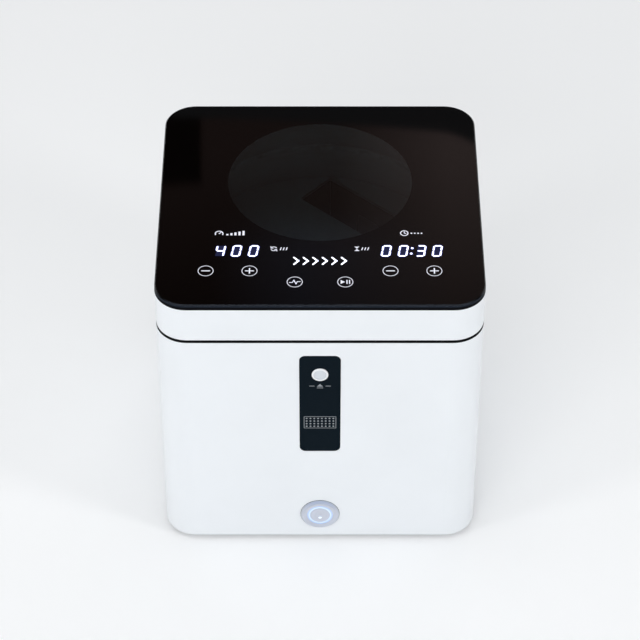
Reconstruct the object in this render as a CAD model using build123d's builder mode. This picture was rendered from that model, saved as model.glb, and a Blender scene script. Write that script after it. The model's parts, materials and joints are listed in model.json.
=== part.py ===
from build123d import *
from math import cos, hypot, radians, sin, sqrt
import os

# Microplate centrifuge, millimetres. +X right, +Y to the back, +Z up.
# The origin is on the table under the middle of the housing.

# ---------------------------------------------------------------- clearances
seat_gap = 0.3       # between pieces that lie side by side
thread_gap = 0.05    # round a screw, pin or bearing in its seat
running_gap = 0.08   # round a pin or shaft that turns or slides
bore_gap = 0.25      # between the cradles and the drum's bore
weld_gap = 0.05      # between welded panels
overlap = 0.5        # how far two parts of one solid run into each other

# --------------------------------------------------------- plates and rotor
plate_length = 127.76
plate_height = 85.48
slot_end_play = 2.24
slot_width = 37.4
slot_inner = 47.8          # rotor axis to the near side of a plate slot
slot_corner = 1.5
rotor_angle = 48.0         # direction of one slot, seen from above
drum_wall = 1.6
drum_top = 3.0
drum_rim_round = 1.2
rotor_floor = 3.0
cradle_wall = 1.5
cradle_floor = 1.5
cradle_play = 1.02         # plate's top edge below the drum top
cradle_window = (26.0, 46.8)
cradle_window_corner = 6.0
cradle_window_pitch = 44.0

# ------------------------------------------------------- chamber and housing
bowl_gap = 3.0             # drum to bowl
bowl_wall = 1.2
bowl_corner = 10.0
bowl_hole = 18.0
rear_space = 3.04          # bowl to rear wall
front_space = 13.03        # bowl to front wall, where the latch sits
side_space = 11.54
under_rotor = 6.8
head_space = 27.6          # drum top to the underside of the deck
drive_space = 85.0         # base plate to bowl
wall = 3.0
deck_thickness = 3.0
corner_radius = 25.0
edge_round = 1.0
foot_height = 4.0
foot_radius = 11.0
foot_inset = 32.0
foot_stem_radius = 3.0
foot_stem_end = 1.5        # stem above the base plate
base_thickness = 3.0
base_boss_height = 22.0
boss_radius = 6.0
boss_sink = 1.0            # boss into the corner's wall
tab_width = 14.0
tab_reach = 13.4
tab_thickness = 2.0
tab_boss_height = 12.0
tab_boss_radius = 5.0
tab_screw_inset = 6.6
tab_directions = (45, 135, 225, 315)
seal_width = 2.5
seal_lip = 1.2
seal_lip_depth = 4.0
boot_wall = 2.0
boot_lip = 1.4
boot_clearance = 3.0       # boot to the spindle's shoulder
gasket_inset = 1.2
gasket_width = 1.8

# -------------------------------------------------------------------- lid
lid_gap = 1.4
lid_height = 37.0
glass_thickness = 4.0
glass_bevel = 0.9
print_thickness = 0.4
print_inset = 0.6
ledge_thickness = 3.0
ledge_width = 6.0
window_radius = 74.1
window_y = 27.8
funnel_margin = 1.9        # funnel beyond the clear window
funnel_neck = 11.6         # height of the funnel's steep upper part
funnel_lean = 5.7          # how far the rear of that part leans back
liner_wall = 1.5
liner_flange = 2.5
board_thickness = 1.6
board_half_width = 106.0
board_front = 8.0          # board edge behind the lid's front face
board_depth = 72.0
board_post_radius = 4.0
board_post_inset = 4.0
board_post_y = (6.5, 64.0)  # behind the board's front edge
board_corner = 3.0
funnel_clearance = 1.2     # board to the funnel
display_height = 8.0
speed_display_width = 37.6
time_display_width = 50.3
display_depth = 19.0
display_corner = 0.8
display_y = -60.9
speed_x = -65.0
time_x = 71.9
key_pad_radius = 4.5
outer_key_x = (54.5, 88.4)
outer_key_y = -84.3
inner_key_x = 19.45
inner_key_y = -97.2

# ------------------------------------------------------------------- hinge
hinge_radius = 9.0         # pin centre to the lid's rear and lower faces
hinge_x = 70.0
ear_width = 8.0
ear_depth = 11.0
ear_foot_width = 32.0
ear_foot_thickness = 4.0
cheek_thickness = 3.5
cheek_radius = 7.5
cheek_gap = 0.6
hinge_pin_radius = 2.0
hinge_screw_offset = 11.5

# ------------------------------------------------------------ open button
button_drop = 31.4         # below the underside of the deck
button_radius = 5.0
button_travel = 2.6
button_thickness = 3.4
sleeve_radius = 6.0
sleeve_flange = 6.5
sleeve_proud = 0.8
sleeve_length = 9.0
sleeve_floor = 1.0
sleeve_nut_wall = 1.6
sleeve_nut_thickness = 2.5
sleeve_edge = 0.3
lever_gap = 1.2            # sleeve to the latch lever's arm
stem_radius = 2.0
label_width = 32.4
label_height = 104.3
label_corner = 5.0
label_thickness = 0.4
label_above_button = 19.8

# ------------------------------------------------------------------- latch
latch_plate = 1.2
latch_plate_width = 28.0
latch_plate_below = 13.0
latch_plate_above = 15.8
latch_cheek_inside = 8.3
latch_cheek_below = 6.0    # pivot to the cheek's lower and rear edges
latch_cheek_behind = 3.5
latch_pivot_height = 12.5  # above the open button's axis
latch_pivot_depth = 4.7    # behind the front wall's inner face
latch_pin_radius = 1.5
latch_pin_end = 0.5        # pin beyond the cheeks
latch_boss_radius = 3.2
latch_half_width = 5.0
latch_arm = 1.2
latch_stem = 1.4           # thickness of the arm that carries the nose
latch_stem_reach = 3.8     # nose tip to the front of that arm
latch_nose_edge = 0.9
latch_nose_drop = 8.6      # nose's holding face below the deck
latch_nose_height = 3.4
nose_reach = 7.4           # nose tip behind the front wall's inner face
striker_gap = 0.3
striker_thickness = 1.4
striker_half_width = 4.5
striker_hook = 2.2
striker_hook_height = 3.2
striker_foot_half = 14.0
striker_screw_x = 9.0
striker_foot_gap = 1.5     # foot to the front wall
striker_side_room = 1.5    # round the striker in the deck's slot
striker_front_room = 2.8
striker_rear_room = 0.9
spring_wire = 0.35
spring_radius = 2.4
spring_turns = 3
spring_leg = 8.0
spring_front_leg = 2.2

# ------------------------------------------------------------ power switch
switch_height = 25.6       # above the housing's lower edge
switch_radius = 15.75
switch_step = 13.3
switch_proud = 2.2
switch_body_radius = 12.5
switch_body_length = 28.0
switch_lens_outer = 10.5
switch_lens_inner = 8.1
switch_cap_thickness = 5.0
switch_travel = 1.5
switch_nut_thickness = 4.0
switch_nut_flats = 30.0
switch_floor = 4.0
switch_socket = 7.0        # depth that the lens sits in
switch_stem_radius = 3.0
terminal_circle = 7.5
terminal_blade = (0.8, 4.8, 8.0)

# ------------------------------------------------------------- mains inlet
inlet_x = 60.0
inlet_height = 41.0
inlet_flange_width = 50.0
inlet_flange_height = 25.0
inlet_body_width = 27.6
inlet_body_height = 20.0
inlet_body_depth = 24.0
inlet_flange_thickness = 2.2
inlet_socket_width = 24.4
inlet_socket_height = 16.4
inlet_socket_depth = 17.0
inlet_screw_pitch = 40.0
inlet_flange_corner = 6.0
inlet_socket_chamfer = 4.0
inlet_blade = (2.0, 4.0)
inlet_blade_recess = 3.0   # blade's end behind the flange's face
inlet_blade_tail = 6.0     # blade behind the inlet's body
vent_count = 8
floor_vent_count = 7
vent_pitch = 7.0
vent_length = 46.0
vent_width = 3.0

# -------------------------------------------------------------- the drive
bracket_drop = 16.0        # bracket's top below the bowl
bracket_size = 128.0
bracket_corner = 12.0
bracket_thickness = 4.0
post_offset = 52.0
post_radius = 6.0
damper_height = 6.0
damper_radius = 9.0
damper_chamfer = 1.2
motor_radius = 40.0
motor_height = 50.0
motor_wall = 2.5
motor_chamfer = 1.8
can_floor = 3.0
pilot_wall = 3.0           # round the front bearing
pilot_recess = 1.0         # pilot below the bracket's top
bell_thickness = 12.0
motor_screw_circle = 31.5
bearing_radius = 13.0
bearing_height = 8.0
bearing_seat = 2.0         # metal below the rear bearing
spindle_radius = 6.0
shoulder_radius = 8.0
shoulder_top_gap = 3.0     # shoulder below the rotor
shoulder_bottom_gap = 1.0  # shoulder above the bracket
spindle_chamfer = 1.0
magnet_radius = 23.0
air_gap = 1.0
stator_height = 18.0
coil_rise = 5.0
coil_width = 7.0
coil_margin = 1.25         # coil to the stator's inner and outer edges
coil_count = 9
hub_barrel = 14.0
hub_flange = 30.0
hub_flange_thickness = 4.0
hub_taper = 6.0
hub_screw_circle = 22.0
nut_flats = 19.0
nut_height = 7.0
washer_radius = 13.7
washer_thickness = 1.5
thread_rise = 8.5

# -------------------------------------------------------------- electronics
supply_size = (52.0, 104.0, 32.0)
supply_x = -92.0
board_size = (46.0, 110.0, 1.6)
board_x = 92.0
board_spacer_height = 8.0
board_spacer_radius = 3.0
spacer_inset = 4.0
spacer_stem_radius = 1.6
spacer_clip_radius = 2.6
spacer_clip_height = 1.6
supply_corner = 1.5
supply_slots = 10
supply_slot_pitch = 8.0
supply_slot_width = 3.0
supply_slot_depth = 2.0
heat_sink_size = (12.0, 50.0, 22.0)
heat_sink_fins = 8
capacitor_radius = 6.0
capacitor_height = 18.0
chip_size = (12.0, 14.0, 3.0)
terminal_size = (30.0, 8.0, 9.0)
board_margin = 7.0         # board edge to the parts on it

# ------------------------------------------------------------------ screws
large_screw = 2.0
fine_screw = 1.5
screw_play = 0.2           # round a screw in a clearance hole
tip_room = 1.5             # hole beyond a screw's tip
head_sink = 0.1            # flat head below its surface
head_play = 0.15           # countersink round a flat head
base_screw_length = 14.0
fine_screw_length = 6.4
board_screw_length = 8.0
bowl_screw_length = 11.0
motor_screw_length = 13.0
damper_screw_bite = 9.0

# ---------------------------------------------------------- worked-out sizes
slot_length = plate_length + slot_end_play
slot_outer = slot_inner + slot_width
drum_inner = hypot(slot_length / 2, slot_outer)
drum_radius = drum_inner + drum_wall
bowl_radius = drum_radius + bowl_gap
bowl_outer = bowl_radius + bowl_wall
body_depth = 2 * bowl_outer + rear_space + front_space + 2 * wall
body_width = 2 * (bowl_outer + side_space + wall)
rotor_y = body_depth / 2 - wall - rear_space - bowl_outer
inner_width = body_width - 2 * wall
inner_depth = body_depth - 2 * wall
inner_corner = corner_radius - wall

body_bottom = foot_height
base_top = body_bottom + base_thickness
bowl_bottom = base_top + drive_space
rotor_bottom = bowl_bottom + bowl_wall + under_rotor
cradle_bottom = rotor_bottom + rotor_floor
rotor_top = cradle_bottom + cradle_floor + plate_height + cradle_play
drum_underside = rotor_top - drum_top
deck_bottom = rotor_top + head_space
body_top = deck_bottom + deck_thickness
lid_bottom = body_top + lid_gap
glass_top = lid_bottom + lid_height
glass_bottom = glass_top - glass_thickness
print_bottom = glass_bottom - print_thickness
ledge_bottom = print_bottom - ledge_thickness
flange_top = lid_bottom + liner_flange
board_top = print_bottom - seat_gap - display_height
board_bottom = board_top - board_thickness

front_face = -body_depth / 2
front_inside = front_face + wall
rear_face = body_depth / 2
rear_inside = rear_face - wall
button_z = deck_bottom - button_drop
switch_z = body_bottom + switch_height
inlet_z = body_bottom + inlet_height
hinge_y = rear_face - hinge_radius
hinge_z = lid_bottom + hinge_radius
pivot_y = front_inside + latch_pivot_depth
pivot_z = button_z + latch_pivot_height
nose_bottom = deck_bottom - latch_nose_drop
nose_tip = front_inside + nose_reach
striker_front = nose_tip + striker_gap
striker_rear = striker_front + striker_thickness
lever_front = front_face - sleeve_proud + sleeve_length + lever_gap

rotor_axis = Axis((0, rotor_y, 0), (0, 0, 1))
spin_plane = Plane(origin=(0, rotor_y, 0), x_dir=(1, 0, 0), z_dir=(0, -1, 0))
front_plane = Plane.XZ.offset(-front_face)
rear_plane = Plane(origin=(0, rear_face, 0), x_dir=(-1, 0, 0), z_dir=(0, 1, 0))

# Places that several pieces share
at_rotor = [(0, rotor_y)]
boss_shift = (inner_corner - boss_radius + boss_sink) / sqrt(2)
boss_x = body_width / 2 - corner_radius + boss_shift
boss_y = body_depth / 2 - corner_radius + boss_shift
corner_places = [(x, y) for x in (-boss_x, boss_x) for y in (-boss_y, boss_y)]
post_places = [(x, rotor_y + y) for x in (-post_offset, post_offset) for y in (-post_offset, post_offset)]
foot_x = body_width / 2 - foot_inset
foot_y = body_depth / 2 - foot_inset
foot_places = [(x, y) for x in (-foot_x, foot_x) for y in (-foot_y, foot_y)]
tab_start = bowl_outer - bowl_wall / 2
tab_circle = tab_start + tab_reach - tab_screw_inset
tab_bottom = deck_bottom - tab_boss_height - tab_thickness
tab_places = [
    (tab_circle * cos(radians(a)), rotor_y + tab_circle * sin(radians(a))) for a in tab_directions
]
post_x = board_half_width - board_post_inset
board_front_y = front_face + board_front
board_post_places = [(x, board_front_y + y) for x in (-post_x, post_x) for y in board_post_y]
hinge_screw_places = [
    (side * hinge_x + shift, hinge_y)
    for side in (-1, 1)
    for shift in (-hinge_screw_offset, hinge_screw_offset)
]
motor_screw_places = [
    (motor_screw_circle * cos(radians(a)), rotor_y + motor_screw_circle * sin(radians(a)))
    for a in (0, 90, 180, 270)
]
hub_screw_places = [
    (hub_screw_circle * cos(radians(a)), rotor_y + hub_screw_circle * sin(radians(a)))
    for a in range(0, 360, 60)
]
spacer_x = board_size[0] / 2 - spacer_inset
spacer_y = board_size[1] / 2 - spacer_inset
spacer_places = [(board_x + x, y) for x in (-spacer_x, spacer_x) for y in (-spacer_y, spacer_y)]


# ------------------------------------------------------------------- helpers
def slab(width, depth, radius, bottom, top, centre=(0, 0), mode=Mode.ADD):
    """A level rounded rectangle from one height to another."""
    with BuildSketch(Plane.XY.offset(bottom)) as outline:
        with Locations(centre):
            RectangleRounded(width, depth, radius)
    extrude(outline.sketch, amount=top - bottom, mode=mode)


def block(x_range, y_range, z_range, mode=Mode.ADD):
    """A square-edged block between three pairs of limits."""
    with BuildSketch(Plane.XY.offset(z_range[0])) as outline:
        with Locations(((x_range[0] + x_range[1]) / 2, (y_range[0] + y_range[1]) / 2)):
            Rectangle(x_range[1] - x_range[0], y_range[1] - y_range[0])
    extrude(outline.sketch, amount=z_range[1] - z_range[0], mode=mode)


def disc(radius, bottom, top, places=((0, 0),), mode=Mode.ADD):
    """Upright cylinders from one height to another, at each place."""
    with BuildSketch(Plane.XY.offset(bottom)) as outline:
        with Locations(*places):
            Circle(radius)
    extrude(outline.sketch, amount=top - bottom, mode=mode)


def bore(radius, bottom, top, places=((0, 0),)):
    """Upright round holes from one height to another, at each place."""
    disc(radius, bottom, top, places, mode=Mode.SUBTRACT)


def turned(plane, points, mode=Mode.ADD):
    """An outline of (radius, along) points turned about the plane's own Y axis."""
    with BuildSketch(plane) as outline:
        with BuildLine():
            Polyline(*points, close=True)
        make_face()
    revolve(outline.sketch, axis=Axis(plane.origin, plane.y_dir), mode=mode)


def front_spin(height):
    """Plane whose X is a radius and whose Y runs to the back, at a height on the front."""
    return Plane(origin=(0, 0, height), x_dir=(0, 0, 1), z_dir=(-1, 0, 0))


def rotor_plane(height):
    """Level plane on the rotor axis, with X towards the middle of one plate slot."""
    towards_slot = (cos(radians(rotor_angle)), sin(radians(rotor_angle)), 0)
    return Plane(origin=(0, rotor_y, height), x_dir=towards_slot, z_dir=(0, 0, 1))


def facing(places, height, up):
    """Planes for screws at a height, with their heads up or down."""
    return [Plane(origin=(x, y, height), z_dir=(0, 0, 1 if up else -1)) for x, y in places]


def flat_screw(radius, length):
    """Countersunk screw, its head's face at the origin, its shank towards -Z."""
    with BuildPart() as screw:
        turned(
            Plane(origin=(0, 0, 0), x_dir=(1, 0, 0), z_dir=(0, -1, 0)),
            [
                (0, -head_sink),
                (2 * radius, -head_sink),
                (radius, -head_sink - radius),
                (radius, -length),
                (0, -length),
            ],
        )
    return screw.part


def cap_screw(radius, length):
    """Socket-head screw, its shank towards -Z, with a hexagon socket."""
    with BuildPart() as screw:
        disc(radius, -length, 0)
        disc(1.75 * radius, 0, 1.6 * radius)
        with BuildSketch(Plane.XY.offset(0.7 * radius)) as socket:
            RegularPolygon(0.9 * radius, 6)
        extrude(socket.sketch, amount=radius, mode=Mode.SUBTRACT)
    return screw.part


def flat_holes(planes, radius, depth):
    """Clearance holes with a countersink for flat_screw."""
    with Locations(*planes):
        CounterSinkHole(radius + screw_play, 2 * radius + head_play, depth, counter_sink_angle=90)


def cut_rear_round(radius):
    """Round the lid's rear lower edge about the hinge pin, so that it clears the deck."""
    with BuildSketch(Plane.YZ.offset(-body_width)) as corner:
        with Locations((hinge_y, hinge_z)):
            Rectangle(2 * hinge_radius, 2 * hinge_radius, align=(Align.MIN, Align.MAX))
            Circle(radius, mode=Mode.SUBTRACT)
    extrude(corner.sketch, amount=2 * body_width, mode=Mode.SUBTRACT)


def cut_hinge_notches(half_width, top):
    """Open the lid behind and below each ear."""
    for side in (-1, 1):
        block(
            (side * hinge_x - half_width, side * hinge_x + half_width),
            (hinge_y - cheek_radius - seat_gap, rear_face + 1),
            (lid_bottom - 1, top),
            mode=Mode.SUBTRACT,
        )


base_screw = flat_screw(large_screw, base_screw_length)
small_screw = flat_screw(fine_screw, fine_screw_length)
board_screw = cap_screw(fine_screw, board_screw_length)
bowl_screw = cap_screw(large_screw, bowl_screw_length)
motor_screw = cap_screw(large_screw, motor_screw_length)
bracket_screw = cap_screw(large_screw, bracket_thickness + damper_height + damper_screw_bite)


# =================================================================== housing
with BuildPart() as housing_shell:
    slab(body_width, body_depth, corner_radius, body_bottom, body_top)
    fillet(housing_shell.faces().sort_by(Axis.Z)[-1].edges(), edge_round)
    fillet(housing_shell.faces().sort_by(Axis.Z)[0].edges(), edge_round)
    slab(inner_width, inner_depth, inner_corner, body_bottom, deck_bottom, mode=Mode.SUBTRACT)
    bore(bowl_radius, deck_bottom, body_top, at_rotor)
    # Bosses for the base plate in the corners, and for the bowl under the deck
    disc(boss_radius, base_top, base_top + base_boss_height, corner_places)
    bore(large_screw + thread_gap, base_top, body_bottom + base_screw_length + tip_room, corner_places)
    disc(tab_boss_radius, deck_bottom - tab_boss_height, deck_bottom, tab_places)
    bore(large_screw + thread_gap, tab_bottom, tab_bottom + bowl_screw_length + tip_room, tab_places)
    # Hinge ears come up through the deck
    for side in (-1, 1):
        block(
            (side * hinge_x - ear_width / 2 - seat_gap, side * hinge_x + ear_width / 2 + seat_gap),
            (hinge_y - ear_depth / 2 - seat_gap, hinge_y + ear_depth / 2 + seat_gap),
            (deck_bottom, body_top),
            mode=Mode.SUBTRACT,
        )
    flat_holes(facing(hinge_screw_places, body_top, True), fine_screw, deck_thickness)
    # Slot that the lid's striker drops through
    block(
        (-striker_half_width - striker_side_room, striker_half_width + striker_side_room),
        (striker_front - striker_hook - striker_front_room, striker_rear + striker_rear_room),
        (deck_bottom, body_top),
        mode=Mode.SUBTRACT,
    )
    # Front: recess for the label, and holes for the button's sleeve and the switch
    with BuildSketch(front_plane) as label_recess:
        with Locations((0, button_z + label_above_button - label_height / 2)):
            RectangleRounded(label_width + seat_gap, label_height + seat_gap, label_corner)
    extrude(label_recess.sketch, amount=-label_thickness, mode=Mode.SUBTRACT)
    with BuildSketch(front_plane) as front_holes:
        with Locations((0, button_z)):
            Circle(sleeve_radius + thread_gap)
        with Locations((0, switch_z)):
            Circle(switch_body_radius + thread_gap)
    extrude(front_holes.sketch, amount=-wall, mode=Mode.SUBTRACT)
    # Rear: mains inlet cut-out with its screw holes, and a row of vents
    with BuildSketch(rear_plane) as rear_holes:
        with Locations((-inlet_x, inlet_z)):
            Rectangle(inlet_body_width + 2 * seat_gap, inlet_body_height + 2 * seat_gap)
            with GridLocations(inlet_screw_pitch, 0, 2, 1):
                Circle(fine_screw + thread_gap)
        with Locations((inlet_x, inlet_z)):
            with GridLocations(vent_pitch, 0, vent_count, 1):
                SlotOverall(vent_length, vent_width, rotation=90)
    extrude(rear_holes.sketch, amount=-wall, mode=Mode.SUBTRACT)
housing_shell.part.label = "housing_shell"

with BuildPart() as base_plate:
    slab(
        inner_width - 2 * seat_gap,
        inner_depth - 2 * seat_gap,
        inner_corner - seat_gap,
        body_bottom,
        base_top,
    )
    flat_holes(facing(corner_places + post_places, body_bottom, False), large_screw, base_thickness)
    bore(foot_stem_radius + thread_gap, body_bottom, base_top, foot_places)
    with BuildSketch(Plane.XY.offset(body_bottom)) as floor_vents:
        with Locations((0, rotor_y)):
            with GridLocations(vent_pitch, 0, floor_vent_count, 1):
                SlotOverall(vent_length, vent_width, rotation=90)
    extrude(floor_vents.sketch, amount=base_thickness, mode=Mode.SUBTRACT)
base_plate.part.label = "base_plate"

with BuildPart() as base_screws:
    with Locations(*facing(corner_places + post_places, body_bottom, False)):
        add(base_screw)
base_screws.part.label = "base_screws"

with BuildPart() as rubber_feet:
    disc(foot_radius, 0, foot_height, foot_places)
    chamfer(rubber_feet.faces().group_by(Axis.Z)[0].edges(), edge_round)
    disc(foot_stem_radius, foot_height, base_top + foot_stem_end, foot_places)
rubber_feet.part.label = "rubber_feet"

# =================================================================== chamber
with BuildPart() as chamber_bowl:
    with BuildSketch(spin_plane) as bowl_section:
        with BuildLine():
            outside = FilletPolyline(
                (bowl_hole, bowl_bottom), (bowl_outer, bowl_bottom), (bowl_outer, deck_bottom),
                radius=bowl_corner,
            )
            inside = FilletPolyline(
                (bowl_hole, bowl_bottom + bowl_wall),
                (bowl_radius, bowl_bottom + bowl_wall),
                (bowl_radius, deck_bottom),
                radius=bowl_corner - bowl_wall,
            )
            Line(outside @ 0, inside @ 0)
            Line(outside @ 1, inside @ 1)
        make_face()
    revolve(axis=rotor_axis)
    # Four welded tabs, each under a boss of the deck
    with BuildSketch(Plane.XY.offset(tab_bottom)) as tabs:
        for direction in tab_directions:
            with Locations((0, rotor_y)):
                with PolarLocations(tab_start + tab_reach / 2, 1, start_angle=direction):
                    Rectangle(tab_reach, tab_width)
        with Locations(*tab_places):
            Circle(large_screw + screw_play, mode=Mode.SUBTRACT)
    extrude(amount=tab_thickness)
chamber_bowl.part.label = "chamber_bowl"

with BuildPart() as bowl_screws:
    with Locations(*facing(tab_places, tab_bottom, False)):
        add(bowl_screw)
bowl_screws.part.label = "bowl_screws"

with BuildPart() as mouth_seal:
    seal_top = lid_bottom - seat_gap
    seal_bottom = body_top - seal_lip_depth
    turned(
        spin_plane,
        [
            (bowl_radius - seal_lip, seal_bottom),
            (bowl_radius - thread_gap, seal_bottom),
            (bowl_radius - thread_gap, body_top),
            (bowl_radius + seal_width, body_top),
            (bowl_radius + seal_width, seal_top),
            (bowl_radius - seal_lip, seal_top),
        ],
    )
mouth_seal.part.label = "mouth_seal"

with BuildPart() as lid_gasket:
    # A flat strip round the deck, which shows as a dark line below the lid
    for inset, mode in ((gasket_inset, Mode.ADD), (gasket_inset + gasket_width, Mode.SUBTRACT)):
        slab(
            body_width - 2 * inset,
            body_depth - 2 * inset,
            corner_radius - inset,
            body_top,
            lid_bottom - seat_gap,
            mode=mode,
        )
lid_gasket.part.label = "lid_gasket"

bracket_top = bowl_bottom - bracket_drop
bracket_bottom = bracket_top - bracket_thickness
bowl_floor_top = bowl_bottom + bowl_wall

with BuildPart() as shaft_boot:
    # A folded wall from a foot on the bracket to a groove that grips the bowl's hole
    boot_inner = shoulder_radius + boot_clearance
    boot_outer = bowl_hole + boot_wall
    fold_z = bracket_top + bracket_drop / 2
    turned(
        spin_plane,
        [
            (boot_outer, bracket_top),
            (boot_outer + 3 * boot_wall, bracket_top),
            (boot_outer + 3 * boot_wall, bracket_top + boot_wall),
            (boot_outer + boot_wall, bracket_top + boot_wall),
            (boot_outer + 2 * boot_wall, fold_z),
            (boot_outer, bowl_bottom - boot_lip),
            (boot_outer, bowl_bottom),
            (bowl_hole - thread_gap, bowl_bottom),
            (bowl_hole - thread_gap, bowl_floor_top),
            (boot_outer, bowl_floor_top),
            (boot_outer, bowl_floor_top + boot_lip),
            (boot_inner, bowl_floor_top + boot_lip),
            (boot_inner, bowl_floor_top),
            (bowl_hole - boot_wall, bowl_bottom - boot_lip),
            (boot_outer + boot_wall, fold_z),
            (boot_outer, bracket_top + boot_wall),
        ],
    )
shaft_boot.part.label = "shaft_boot"

# ===================================================================== drive
damper_bottom = bracket_bottom - damper_height
bell_bottom = bracket_bottom - bell_thickness
motor_bottom = bracket_bottom - motor_height
motor_floor = bearing_height + bearing_seat
pilot_radius = bearing_radius + pilot_wall

with BuildPart() as motor_bracket:
    slab(bracket_size, bracket_size, bracket_corner, bracket_bottom, bracket_top, (0, rotor_y))
    bore(pilot_radius + thread_gap, bracket_bottom, bracket_top, at_rotor)
    bore(large_screw + screw_play, bracket_bottom, bracket_top, post_places + motor_screw_places)
motor_bracket.part.label = "motor_bracket"

with BuildPart() as bracket_posts:
    disc(post_radius, base_top, damper_bottom, post_places)
    bore(large_screw + thread_gap, base_top, body_bottom + base_screw_length + tip_room, post_places)
    bore(large_screw + thread_gap, damper_bottom - damper_screw_bite - tip_room, damper_bottom, post_places)
bracket_posts.part.label = "bracket_posts"

with BuildPart() as rubber_dampers:
    disc(damper_radius, damper_bottom, bracket_bottom, post_places)
    chamfer(rubber_dampers.edges().filter_by(GeomType.CIRCLE), damper_chamfer)
    bore(large_screw + 2 * screw_play, damper_bottom, bracket_bottom, post_places)
rubber_dampers.part.label = "rubber_dampers"

with BuildPart() as bracket_screws:
    with Locations(*facing(post_places, bracket_top, True)):
        add(bracket_screw)
    with Locations(*facing(motor_screw_places, bracket_top, True)):
        add(motor_screw)
bracket_screws.part.label = "bracket_screws"

with BuildPart() as motor_front_bell:
    disc(motor_radius, bell_bottom, bracket_bottom, at_rotor)
    chamfer(motor_front_bell.faces().sort_by(Axis.Z)[-1].edges(), motor_chamfer)
    disc(pilot_radius, bracket_bottom, bracket_top - pilot_recess, at_rotor)
    bore(spindle_radius + seat_gap, bell_bottom, bracket_top, at_rotor)
    bore(bearing_radius + thread_gap, bell_bottom, bell_bottom + bearing_height, at_rotor)
    motor_screw_end = bracket_top - motor_screw_length - tip_room
    bore(large_screw + thread_gap, motor_screw_end, bracket_bottom, motor_screw_places)
motor_front_bell.part.label = "motor_front_bell"

with BuildPart() as motor_can:
    disc(motor_radius, motor_bottom, bell_bottom, at_rotor)
    chamfer(motor_can.faces().sort_by(Axis.Z)[0].edges(), motor_chamfer)
    bore(motor_radius - motor_wall, motor_bottom + can_floor, bell_bottom, at_rotor)
    disc(pilot_radius, motor_bottom + can_floor, motor_bottom + motor_floor, at_rotor)
    bore(bearing_radius + thread_gap, motor_bottom + bearing_seat, motor_bottom + motor_floor, at_rotor)
motor_can.part.label = "motor_can"

stator_middle = (motor_bottom + motor_floor + bell_bottom) / 2
with BuildPart() as stator_core:
    stator_bottom = stator_middle - stator_height / 2
    stator_top = stator_middle + stator_height / 2
    stator_outer = motor_radius - motor_wall
    stator_inner = magnet_radius + air_gap
    disc(stator_outer - thread_gap, stator_bottom, stator_top, at_rotor)
    bore(stator_inner, stator_bottom, stator_top, at_rotor)
stator_core.part.label = "stator_core"

with BuildPart() as motor_windings:
    for level, rise in ((stator_bottom, -coil_rise), (stator_top, coil_rise)):
        with BuildSketch(Plane.XY.offset(level)) as coil_ends:
            with Locations((0, rotor_y)):
                with PolarLocations((stator_inner + stator_outer) / 2, coil_count):
                    SlotOverall(stator_outer - stator_inner - 2 * coil_margin, coil_width)
        extrude(coil_ends.sketch, amount=rise)
motor_windings.part.label = "motor_windings"

with BuildPart() as motor_bearings:
    for level in (motor_bottom + bearing_seat, bell_bottom):
        disc(bearing_radius, level, level + bearing_height, at_rotor)
        bore(spindle_radius + running_gap, level, level + bearing_height, at_rotor)
motor_bearings.part.label = "motor_bearings"

# ===================================================================== rotor
with BuildPart() as spindle:
    seat_z = rotor_bottom - shoulder_top_gap
    turned(
        spin_plane,
        [
            (0, motor_bottom + can_floor),
            (spindle_radius, motor_bottom + can_floor),
            (spindle_radius, bracket_top + shoulder_bottom_gap),
            (shoulder_radius, bracket_top + shoulder_bottom_gap),
            (shoulder_radius, seat_z),
            (spindle_radius, seat_z),
            (spindle_radius, rotor_top + thread_rise - spindle_chamfer),
            (spindle_radius - spindle_chamfer, rotor_top + thread_rise),
            (0, rotor_top + thread_rise),
        ],
    )
spindle.part.label = "spindle"

with BuildPart() as magnet_rotor:
    disc(magnet_radius, stator_bottom, stator_top, at_rotor)
    bore(spindle_radius + thread_gap, stator_bottom, stator_top, at_rotor)
magnet_rotor.part.label = "magnet_rotor"

with BuildPart() as rotor_hub:
    turned(
        spin_plane,
        [
            (spindle_radius + thread_gap, seat_z),
            (hub_barrel, seat_z),
            (hub_barrel, cradle_bottom),
            (hub_flange, cradle_bottom),
            (hub_flange, cradle_bottom + hub_flange_thickness),
            (hub_barrel, cradle_bottom + hub_flange_thickness + hub_taper),
            (hub_barrel, drum_underside - hub_flange_thickness - hub_taper),
            (hub_flange, drum_underside - hub_flange_thickness),
            (hub_flange, drum_underside),
            (spindle_radius + thread_gap, drum_underside),
        ],
    )
    hub_screw_end = rotor_bottom + fine_screw_length + tip_room
    bore(fine_screw + thread_gap, cradle_bottom, hub_screw_end, hub_screw_places)
rotor_hub.part.label = "rotor_hub"

with BuildPart() as rotor_base:
    disc(drum_inner - 2 * thread_gap, rotor_bottom, cradle_bottom, at_rotor)
    bore(hub_barrel + thread_gap, rotor_bottom, cradle_bottom, at_rotor)
    flat_holes(facing(hub_screw_places, rotor_bottom, False), fine_screw, rotor_floor)
rotor_base.part.label = "rotor_base"

with BuildPart() as rotor_screws:
    with Locations(*facing(hub_screw_places, rotor_bottom, False)):
        add(small_screw)
rotor_screws.part.label = "rotor_screws"

with BuildPart() as rotor_drum:
    disc(drum_radius, rotor_bottom, rotor_top, at_rotor)
    fillet(rotor_drum.faces().sort_by(Axis.Z)[-1].edges(), drum_rim_round)
    bore(drum_inner, rotor_bottom, drum_underside, at_rotor)
    with BuildSketch(rotor_plane(drum_underside)) as plate_slots:
        with Locations((slot_inner + slot_width / 2, 0), (-slot_inner - slot_width / 2, 0)):
            RectangleRounded(slot_width, slot_length, slot_corner)
        Circle(spindle_radius + thread_gap)
    extrude(plate_slots.sketch, amount=drum_top, mode=Mode.SUBTRACT)
rotor_drum.part.label = "rotor_drum"

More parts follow.
